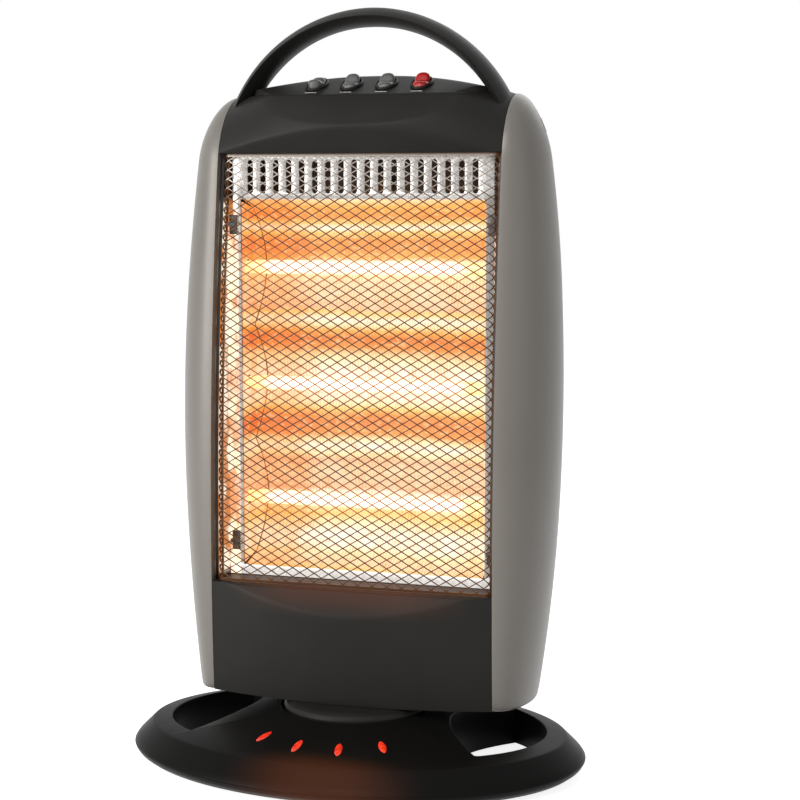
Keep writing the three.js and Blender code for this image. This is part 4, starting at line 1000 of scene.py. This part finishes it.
class HEATER_OT_base(bpy.types.Operator):
    """The oval base ring with its web and two half-moon openings, and what is under it."""

    bl_idname = "heater.base"
    bl_options = {"REGISTER", "UNDO"}
    bl_label = "Base"

    def execute(self, context):
        skin = Skin()
        theta_tip, s_tip = opening_tip()
        # Four sectors: an opening at each side, and closed web at the front and the rear
        for start, end, steps, is_open in (
            (-theta_tip, theta_tip, 96, True), (theta_tip, math.pi - theta_tip, 128, False),
            (math.pi - theta_tip, math.pi + theta_tip, 96, True),
            (math.pi + theta_tip, 2 * math.pi - theta_tip, 128, False),
        ):
            theta = np.linspace(start, end, steps + 1)
            rim = self.rim(theta)
            ring = self.ring(theta)
            if is_open:
                mirrored = np.where(np.cos(theta) < 0, math.pi - theta, theta)
                outer, inner = opening_limits(mirrored)
                outer[[0, -1]], inner[[0, -1]] = s_tip, s_tip
                room = np.minimum(1.4, (inner - outer) * 20.0)
                edge_out, edge_in = height_on_web(theta, outer), height_on_web(theta, inner)
                low = np.array([1, 1, 0]), np.array([0, 0, BASE_BOTTOM])
                wall_out, wall_in = edge_out * low[0] + low[1], edge_in * low[0] + low[1]
                outside = self.line(rim, [edge_out, wall_out], 1.4, room)
                inside = self.line([wall_in, edge_in], ring, room, 1.4)
                skin.add(outside).add(inside)
            else:
                middle = height_on_web(theta, np.full_like(theta, s_tip))
                skin.add(self.line(rim, [middle] + ring, 1.4, 1.4))
        # the base ring: black darkened as painted shade, with a painted red glow at the inserts
        make_piece(skin, "base_ring", "base", "lit_black", ["base_shell"],
                   up=(0, 0, 1), wall=SHELL_WALL, sharp=38)
        refined("base_underplate", "base", "black_plastic", 0.3)
        for spot in ("front_left", "front_right", "rear_left", "rear_right"):
            refined("foot_" + spot, "base", "rubber", 0.4)
        refined("crank_track", "base", "steel", 0.1)
        refined("tip_switch_body", "base", "phenolic", 0.3)
        refined("tip_switch_plunger", "plunger", "red_rocker", 0.4)
        refined("cord_gland", "base", "rubber", 0.2)
        self.inserts()
        return {"FINISHED"}

    @staticmethod
    def rim(theta):
        """The outside of the ring, from its foot over the belt to the facet line on top."""
        cos, sin = np.cos(theta), np.sin(theta)
        levels = ((7.0, BASE_BOTTOM), (2.33, 6.0), (0.0, BELT_HEIGHT), (2.8, 14.0),
                  (FACET_INSET, FACET_HEIGHT))
        return [stack((BASE_X - inset) * cos, (BASE_Y - inset) * sin, z) for inset, z in levels]

    @staticmethod
    def ring(theta):
        """The swivel ring: its crest, and the recess that the disc turns in."""
        cos, sin = np.cos(theta), np.sin(theta)
        levels = ((RING_RADIUS, RING_TOP), (RECESS_RADIUS, RING_TOP),
                  (RECESS_RADIUS, RECESS_FLOOR), (7.8, RECESS_FLOOR))
        return [stack(r * cos, r * sin, z) for r, z in levels]

    @staticmethod
    def line(first, second, reach_first, reach_second):
        """Rounds the polyline through two groups of corners, each with a reach of its own."""
        corners = np.stack(list(first) + list(second), axis=1)
        inner = corners.shape[1] - 2
        reach = np.empty((corners.shape[0], inner))
        split = len(first) - 1
        reach[:, :split] = np.asarray(reach_first, float).reshape(-1, 1)
        reach[:, split:] = np.asarray(reach_second, float).reshape(-1, 1)
        return soften(corners, reach, 4)

    @staticmethod
    def inserts():
        """Four almond-shaped red inserts: the width falls off as a power of the length; the top is a dome."""
        half_long, half_wide, spot = 7.6, 2.75, 85.5
        s, t = np.linspace(-1, 1, 33)[:, None], np.linspace(-1, 1, 17)
        wide = half_wide * (1 - np.abs(s) ** 2.2) ** 0.9
        dome = 1.1 * (1 - t ** 2) ** 0.5 * (1 - np.abs(s) ** 3) + 0.0 * wide
        for i, angle in enumerate((-30, -10, 10, 30), 1):
            turn = math.radians(angle)
            skin = Skin()
            for off in (dome - 0.35, 0 * dome - 1.2):
                across, along = wide * t, half_long * s + 0 * t
                forward = along - spot
                x = across * math.cos(turn) - forward * math.sin(turn)
                y = across * math.sin(turn) + forward * math.cos(turn)
                skin.add(stack(x, y, web_top(x, y) + off))
            top, bottom = skin.points
            top, bottom = top.reshape(33, 17, 3), bottom.reshape(33, 17, 3)
            for end in (0, -1):
                skin.add(np.stack([top[:, end], bottom[:, end]], axis=1))
            make_piece(skin, "red_insert_%d" % i, "base", "red_insert", ["slot_insert_%d" % i],
                       sharp=50)


class HEATER_OT_swivel(bpy.types.Operator):
    """The turntable disc of the head with its retaining ring, its crank and motor, and the head's floor."""

    bl_idname = "heater.swivel"
    bl_options = {"REGISTER", "UNDO"}
    bl_label = "Swivel"

    def execute(self, context):
        profile = [(7.0, 43.2), (49.5, 43.2), (49.5, 36.3), (52.0, 36.3), (52.0, 41.5), (50.5, 44.2),
                   (47.0, 46.0), (5.0, 46.0), (5.0, 28.2), (7.0, 28.2), (7.0, 43.0)]
        skin = Skin().add(turned(profile, 0.8, 128), wrap_rows=True, wrap_columns=True)
        make_piece(skin, "turntable", "head", "black_plastic", ["swivel_disc"], sharp=38)
        refined("swivel_retainer", "head", "steel", 0.2)
        refined("motor_crank", "crank", "steel", 0.25)
        refined("swing_motor", "head", "steel", 0.5)
        refined("head_floor", "head", "black_plastic", 0.3)
        return {"FINISHED"}


class HEATER_OT_covers(bpy.types.Operator):
    """The two bulging side covers with their screw recesses."""

    bl_idname = "heater.covers"
    bl_options = {"REGISTER", "UNDO"}
    bl_label = "Side covers"

    def execute(self, context):
        for side, name in ((1, "right"), (-1, "left")):
            grid = cover_grid() * np.array([side, 1, 1])
            mesh = Skin().add(grid, wrap_columns=True).mesh(name + "_cover", 0.02)
            cover = place(name + "_cover", mesh, "head", "grey_cover", [name + "_side_cover"])
            turn = circle(40)
            reach = np.array([0.0, 4.9, 4.9, 0.0])[:, None]
            x = np.array([SCREW_FLOOR, SCREW_FLOOR, 160.0, 160.0])[:, None]
            hole = stack(side * x + 0 * turn, SCREW_Y + reach * np.cos(turn), SCREW_Z + reach * np.sin(turn))
            carve(cover, [Skin().add(hole, wrap_columns=True).mesh("hole")])
            settle(cover, 40)
            self.cup(side, name, turn)
            refined(name + "_cover_screw", "head", "dark_steel", 0.3)
        return {"FINISHED"}

    @staticmethod
    def cup(side, name, turn):
        """A dark ring that lines the screw's recess and follows the cover's surface."""
        radius = np.array([4.0, 4.0, 5.1, 5.1])[:, None]
        y, z = SCREW_Y + radius * np.cos(turn), SCREW_Z + radius * np.sin(turn)
        share = np.array([0.0, 1.0, 1.0, 0.0])[:, None]
        inner = SCREW_FLOOR + 0.5
        x = inner + (cover_out(y, z) + 0.25 - inner) * share
        skin = Skin().add(stack(side * x, y, z), wrap_rows=True, wrap_columns=True)
        make_piece(skin, name + "_screw_cup", "head", "black_plastic", merge=0.01, sharp=40)


class HEATER_OT_panels(bpy.types.Operator):
    """The black lower panel, the control housing on top and the rear cover."""

    bl_idname = "heater.panels"
    bl_options = {"REGISTER", "UNDO"}
    bl_label = "Black panels"

    def execute(self, context):
        self.lower()
        self.housing()
        refined("rear_cover", "head", "black_plastic", 0.5)
        refined("chassis", "head", "chassis_sheet", 0)
        return {"FINISHED"}

    @staticmethod
    def lower():
        """The outline runs on straight past the face at its fold, so that the face cuts it in a crescent."""
        low = float(panel_front(0.0, PANEL_LOW_Z))
        high = (PANEL_HIGH_Y, GUARD_BOTTOM - GAP)
        outline = [(10.0, high[1]), high, (low, PANEL_LOW_Z), (2 * low - high[0], 2 * PANEL_LOW_Z - high[1]),
                   (2 * low - high[0], HEAD_BOTTOM + 3), (2 * low - high[0], HEAD_BOTTOM), (9.0, HEAD_BOTTOM)]
        grid = black_front(outline, [1.2, 0.01, 0.01, 0.01, 0.01], 1.0, 161, False)
        # the lower panel carries a painted lamp glow on its crescent under the guard
        make_piece(Skin().add(grid), "lower_panel", "head", "warmed_black",
                   ["lower_front_panel"], up=(0, -1, 0), wall=SHELL_WALL, sharp=34)

    @staticmethod
    def housing():
        """The outline climbs over two slopes to the switches' deck and the top; its sides are closed."""
        bottom = GUARD_TOP + GAP
        outline = [(60.0, bottom), (float(front_line(bottom)), bottom), (-10.6, 450.8), DECK_FRONT,
                   (50.0, CROWN_TOP), (106.0, CROWN_TOP), (106.0, bottom), (60.0, bottom)]
        grid = close_ends(black_front(outline, [0.8, 0.8, 0.9, 2.0, 4.0, 1.0], 0.9, 181, True))
        mesh = Skin().add(grid, wrap_rows=True).mesh("control_top", 0.02)
        top = place("control_top", mesh, "head", "black_plastic", ["control_housing"])
        cutters = []
        for x in SWITCH_XS:
            oval = deck_rings(x, [(0, 0, -9), (7.2, 10.8, -9), (7.2, 10.8, 8), (0, 0, 8)], 48)
            cutters.append(Skin().add(oval, wrap_columns=True).mesh("cut"))
        carve(top, cutters)
        settle(top, 30)


class HEATER_OT_handle(bpy.types.Operator):
    """The arched carry handle."""

    bl_idname = "heater.handle"
    bl_options = {"REGISTER", "UNDO"}
    bl_label = "Handle"

    def execute(self, context):
        """Round the arch by angle a, and round its section by t: the radius swings as a power of the sine,
        which draws the section to a crisp ridge at the front and a soft nose at the rear."""
        a = np.linspace(math.radians(15), math.radians(165), 161)[:, None]
        t = circle(64)
        half = HANDLE_HALF_THICK * (1 - 0.12 * np.abs(np.cos(a)))
        nose = np.where(np.cos(t) > 0, 1.9, 1.25)
        radial = HANDLE_RADIUS - HANDLE_HALF_THICK + half * np.sign(np.sin(t)) * np.abs(np.sin(t)) ** nose
        x = np.clip(radial * np.cos(a), -103.7, 103.7)
        y = HANDLE_Y - HANDLE_HALF_DEEP * np.cos(t) + 0 * a
        grid = stack(x, y, HANDLE_TOP - HANDLE_RADIUS + radial * np.sin(a))
        make_piece(Skin().tube(grid), "arched_handle", "head", "black_plastic",
                   ["carry_handle"], sharp=40)
        return {"FINISHED"}


class HEATER_OT_guard(bpy.types.Operator):
    """The fine diamond wire guard that folds back at its sides."""

    bl_idname = "heater.guard"
    bl_options = {"REGISTER", "UNDO"}
    bl_label = "Wire guard"

    def execute(self, context):
        sizes = context.scene.heater_sizes
        reach = GUARD_SIDE + GUARD_RETURN - 1.0
        across, up, wire = sizes.guard_across / MM, sizes.guard_up / MM, sizes.guard_wire / MM
        low, middle, high = GUARD_BOTTOM + 0.6, 280.0, GUARD_TOP - 0.6
        skin = Skin()
        slope = up / across
        for lean in (1, -1):
            starts = np.arange(-60, 61) * across
            limits = np.stack([(edge - middle) / slope * lean + starts for edge in (low, high)])
            first, last = np.maximum(limits.min(0), -reach), np.minimum(limits.max(0), reach)
            keep = last - first > 2.0
            first, last, starts = first[keep], last[keep], starts[keep]
            u = first[:, None] + (last - first)[:, None] * np.linspace(0, 1, 72)
            v = middle + (u - starts[:, None]) * slope * lean
            self.strands(skin, u, v, (across, lean * up), wire / 2, GUARD_THICK / 2 + 0.28 * lean)
        self.border(skin, reach, low, high)
        make_piece(skin, "diamond_guard", "head", "guard_wire", ["wire_guard"],
                   merge=0.001, sharp=60)
        return {"FINISHED"}

    @staticmethod
    def fold(u, v, out):
        """Takes a flat point (across, up, outwards) round the fold at the guard's sides."""
        radius, thick = GUARD_FOLD, GUARD_THICK
        flat = GUARD_SIDE - radius
        quarter = radius * math.pi / 2
        past = np.abs(u) - flat
        angle = np.clip(past / radius, 0, math.pi / 2)
        beyond = np.maximum(past - quarter, 0)
        arm = radius - thick + out
        x = np.where(past <= 0, np.abs(u), flat + arm * np.sin(angle))
        front = front_line(v) + GUARD_INSET
        y = np.where(past <= 0, front - out, front + radius - thick - arm * np.cos(angle) + beyond)
        return stack(np.sign(u) * x, y, v)

    def strands(self, skin, u, v, direction, half, level):
        """Square strands: four corners round each point of the flat guard, folded with it."""
        length = math.hypot(*direction)
        side_u, side_v = -direction[1] / length, direction[0] / length
        turn = circle(4) + math.pi / 4
        aside, out = np.cos(turn) * half * 1.414, np.sin(turn) * half * 1.2
        points = self.fold(u[..., None] + side_u * aside, v[..., None] + side_v * aside, level + out)
        for strand in points:
            skin.tube(strand)

    def border(self, skin, reach, low, high):
        """Flat strips along the guard's four edges, folded like the strands."""
        turn = circle(4) + math.pi / 4
        wide, thick = np.cos(turn) * 1.4, np.sin(turn) * 0.75
        for v in (low + 0.4, high - 0.4):
            u = np.linspace(-reach, reach, 241)[:, None]
            skin.tube(self.fold(u, v + wide, GUARD_THICK / 2 + thick))
        for u in (-reach + 0.4, reach - 0.4):
            v = np.linspace(low, high, 120)[:, None]
            skin.tube(self.fold(u + wide, v, GUARD_THICK / 2 + thick))


def reflector_line(z):
    """Depth of the troughs: a power curve, deepest behind each lamp and with a ridge between two."""
    from_middle = np.abs(2 * (((z - REFLECTOR_BOTTOM) / LAMP_PITCH) % 1) - 1)
    return TROUGH_Y - (TROUGH_Y - RIDGE_Y) * from_middle ** 1.8


class HEATER_OT_reflector(bpy.types.Operator):
    """The troughed reflector, its end plates, its bright frame and the guard's brackets."""

    bl_idname = "heater.reflector"
    bl_options = {"REGISTER", "UNDO"}
    bl_label = "Reflector"

    def execute(self, context):
        start = FRAME_Y + SHEET + GAP
        z = np.linspace(REFLECTOR_BOTTOM + 0.01, REFLECTOR_TOP - 0.01, 253)
        troughs = np.stack([reflector_line(z), z], 1)
        line = densify(np.concatenate([[(start, OPENING_BOTTOM)], troughs, [(start, OPENING_TOP)]]), 1.6)
        y, z = line[:, :1], line[:, 1:]
        half = OPENING_HALF - 4.0 * (y - FRAME_Y) / (TROUGH_Y - FRAME_Y) - SHEET - GAP
        grid = stack(half * np.linspace(-1, 1, 25), y, z)
        make_piece(Skin().add(grid), "troughed_reflector", "head", "glowing_sheet",
                   ["reflector"], merge=0.001, up=(0, -1, 0), wall=1.0, sharp=60)
        self.edges(line, half[:, 0])
        # the end plates take the same painted lamp glow
        for name in ("reflector_end_right", "reflector_end_left"):
            refined(name, "head", "glowing_sheet", 0)
        refined("reflector_frame", "head", "bright_sheet", 0.25)
        for name in ("lower_left", "lower_right", "upper_left", "upper_right"):
            refined("guard_bracket_" + name, "head", "dark_steel", 0.3)
        return {"FINISHED"}

    @staticmethod
    def edges(line, half):
        """A thin browned bead along each end of the troughs, where the sheet is folded over; its finish adds a
        painted lamp glow.
        """
        for side, name in ((1, "right"), (-1, "left")):
            turn = circle(6)
            step = np.gradient(line, axis=0)
            step /= np.linalg.norm(step, axis=1, keepdims=True)
            y = line[:, :1] - 0.25 + 0.25 * np.cos(turn) * step[:, 1:]
            z = line[:, 1:] - 0.25 * np.cos(turn) * step[:, :1]
            x = side * (half[:, None] - 0.4 + 0.25 * np.sin(turn))
            skin = Skin().tube(stack(x, y, z)[2:-2])
            make_piece(skin, "trough_bead_" + name, "head", "browned_edge", merge=0.005, sharp=60)


class HEATER_OT_lamps(bpy.types.Operator):
    """Three quartz lamps with their coils, caps and ceramic holders."""

    bl_idname = "heater.lamps"
    bl_options = {"REGISTER", "UNDO"}
    bl_label = "Lamps"

    def execute(self, context):
        sizes = context.scene.heater_sizes
        for i, z in enumerate(LAMP_HEIGHTS, 1):
            self.lamp(i, z)
            self.coil(i, z, sizes.coil_turns)
            for side in ("left", "right"):
                refined("lamp_holder_%s_%d" % (side, i), "head", "ceramic", 0.5)
        return {"FINISHED"}

    @staticmethod
    def lamp(i, z):
        """The tube is turned round the lamp's axis, and is a little narrower towards its sealed ends."""
        end = np.array([(91.4, 0.0), (91.4, 4.2), (84.0, 4.4), (80.0, 4.9), (76.0, LAMP_RADIUS)])
        profile = densify(np.concatenate([end * (-1, 1), end[::-1]]), 6.0)
        turn = circle(32)
        x, radius = profile[:, :1], profile[:, 1:]
        grid = stack(x, LAMP_Y + radius * np.cos(turn), z + radius * np.sin(turn))
        make_piece(Skin().add(grid, wrap_columns=True), "quartz_lamp_%d" % i, "head", "quartz",
                   ["lamp_tube_%d" % i], merge=0.005, sharp=50)

    @staticmethod
    def coil(i, z, turns):
        """A helix of that many turns along the lamp's axis."""
        s = np.linspace(0, 1, turns * 10 + 1)[:, None]
        angle = 2 * math.pi * turns * s
        half_length, coil_radius, wire_radius, ring = 74.0, 1.15, 0.18, circle(5)
        radius = coil_radius + wire_radius * np.cos(ring)
        x = -half_length + 2 * half_length * s + wire_radius * np.sin(ring)
        grid = stack(x, LAMP_Y + radius * np.cos(angle), z + radius * np.sin(angle))
        make_piece(Skin().tube(grid), "tungsten_coil_%d" % i, "head", "tungsten",
                   ["lamp_filament_%d" % i], merge=0.0001, sharp=60)


class HEATER_OT_switches(bpy.types.Operator):
    """Four rocker switches in their bezels, with a short printed dash in front of each."""

    bl_idname = "heater.switches"
    bl_options = {"REGISTER", "UNDO"}
    bl_label = "Switches"

    def execute(self, context):
        for i, x in enumerate(SWITCH_XS, 1):
            self.bezel(i, x)
            self.rocker(i, x, math.radians(-12 if i == 1 else 12), "red_rocker" if i == 4 else "grey_rocker")
            self.dash(i, x)
        return {"FINISHED"}

    @staticmethod
    def bezel(i, x):
        """An oval ring on the deck, with the well that the rocker tips in and the body under it."""
        rings = [(0, 0, -13.7), (6.8, 10.2, -13.7), (6.8, 10.2, 0.32), (8, 12, 0.32), (8, 12, 1.2),
                 (7.5, 11.5, 1.85), (6.8, 11.0, 1.85), (6.4, 10.65, 1.3), (6.35, 10.6, -10.8), (0, 0, -10.8)]
        skin = Skin().add(deck_rings(x, rings, 56), wrap_columns=True)
        make_piece(skin, "switch_bezel_%d" % i, "head", "black_plastic",
                   ["switch_body_%d" % i], merge=0.01, sharp=40)

    @staticmethod
    def rocker(i, x, tilt, look):
        """A full oval cap: its top dips between two round lobes (a part of a sine each), its rim is rounded
        and its belly is half an ellipse.

        Rings shrink from the rim to the middle on top, and from the middle to the rim below.
        """
        half_x, half_y, pivot = 5.5, 9.4, 2.4
        share = np.sin(np.linspace(0, math.pi / 2, 22))[:, None]
        turn = circle(56)
        full = [np.sign(wave) * np.abs(wave) ** 0.8 for wave in (np.cos(turn), np.sin(turn))]
        px, py = half_x * share * full[0], half_y * share * full[1]
        rim = 1.5 * share ** 6
        crown = 0.5 * (1 - (px / half_x) ** 2)
        lobes = 2.5 * np.sin(0.72 * math.pi * np.abs(py / half_y) ** 1.1)
        top = pivot + lobes - rim + crown - 0.25
        belly = -(half_y - pivot) * np.sqrt(np.clip(1 - (py / half_y) ** 2, 0, 1)) * 0.98 + 0 * px
        side = np.linspace(1, 0, 4)[1:-1, None]
        wall_z = top[-1] * side + belly[-1] * (1 - side)
        upper = stack(px, py, top)
        wall = stack(px[-1] + 0 * side, py[-1] + 0 * side, wall_z)
        lower = stack(px, py, belly)[::-1]
        grid = np.concatenate([upper, wall, lower])
        along = grid[..., 1] * math.cos(tilt) - grid[..., 2] * math.sin(tilt)
        off = grid[..., 1] * math.sin(tilt) + grid[..., 2] * math.cos(tilt)
        grid = deck_point(x + grid[..., 0], along, off)
        skin = Skin().add(grid, wrap_columns=True)
        make_piece(skin, "rocker_cap_%d" % i, "switch_rocker_%d" % i, look, ["rocker_%d" % i],
                   merge=0.01, sharp=50)

    @staticmethod
    def dash(i, x):
        """A thin printed bar on the deck, a tenth of a millimetre high."""
        u = np.array([-4.2, -4.2, 4.2, 4.2])[:, None]
        off = np.array([0.02, 0.12, 0.12, 0.02])[:, None]
        along = np.array([-15.4, -14.5])
        grid = deck_point(x + u + 0 * along, along + 0 * u, off + 0 * along)
        skin = Skin().add(grid, wrap_rows=True)
        for end in (0, -1):
            edge = grid[:, end]
            skin.add(np.array([[edge[0], edge[1]], [edge[3], edge[2]]]))
        mesh = skin.mesh("switch_mark_%d" % i, 0.001)
        place(mesh.name, mesh, "head", "print")


class HEATER_OT_fittings(bpy.types.Operator):
    """Small fittings inside the head, finished in their own materials."""

    bl_idname = "heater.fittings"
    bl_options = {"REGISTER", "UNDO"}
    bl_label = "Fittings"

    def execute(self, context):
        refined("terminal_block", "head", "phenolic", 0.3)
        refined("thermal_cutout", "head", "phenolic", 0.3)
        return {"FINISHED"}


class HEATER_PT_panel(bpy.types.Panel):
    """Lists the heater's parts and what can be changed."""

    bl_label = "Heater"
    bl_space_type = "VIEW_3D"
    bl_region_type = "UI"
    bl_category = "Heater"

    def draw(self, context):
        for group in (context.scene.heater_sizes, context.scene.heater_colours):
            for name in group.__annotations__:
                self.layout.prop(group, name)
        for operator in OPERATORS:
            self.layout.operator(operator.bl_idname)


OPERATORS = (
    HEATER_OT_stage, HEATER_OT_base, HEATER_OT_swivel, HEATER_OT_covers, HEATER_OT_panels, HEATER_OT_handle,
    HEATER_OT_guard, HEATER_OT_reflector, HEATER_OT_lamps, HEATER_OT_switches, HEATER_OT_fittings,
)
CLASSES = (HeaterSizes, HeaterColours, *OPERATORS, HEATER_PT_panel)


def register():
    for made in CLASSES:
        bpy.utils.register_class(made)
    bpy.types.Scene.heater_sizes = PointerProperty(type=HeaterSizes)
    bpy.types.Scene.heater_colours = PointerProperty(type=HeaterColours)


def unregister():
    del bpy.types.Scene.heater_colours
    del bpy.types.Scene.heater_sizes
    for made in reversed(CLASSES):
        bpy.utils.unregister_class(made)


def main():
    """Builds the whole heater."""
    register()
    for operator in OPERATORS:
        group, name = operator.bl_idname.split(".")
        getattr(getattr(bpy.ops, group), name)()
    boxes = {"cad": CAD_BOX, "visual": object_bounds()}
    {name: [list(corner) for corner in box] for name, box in boxes.items()}


if __name__ == "__main__":
    main()
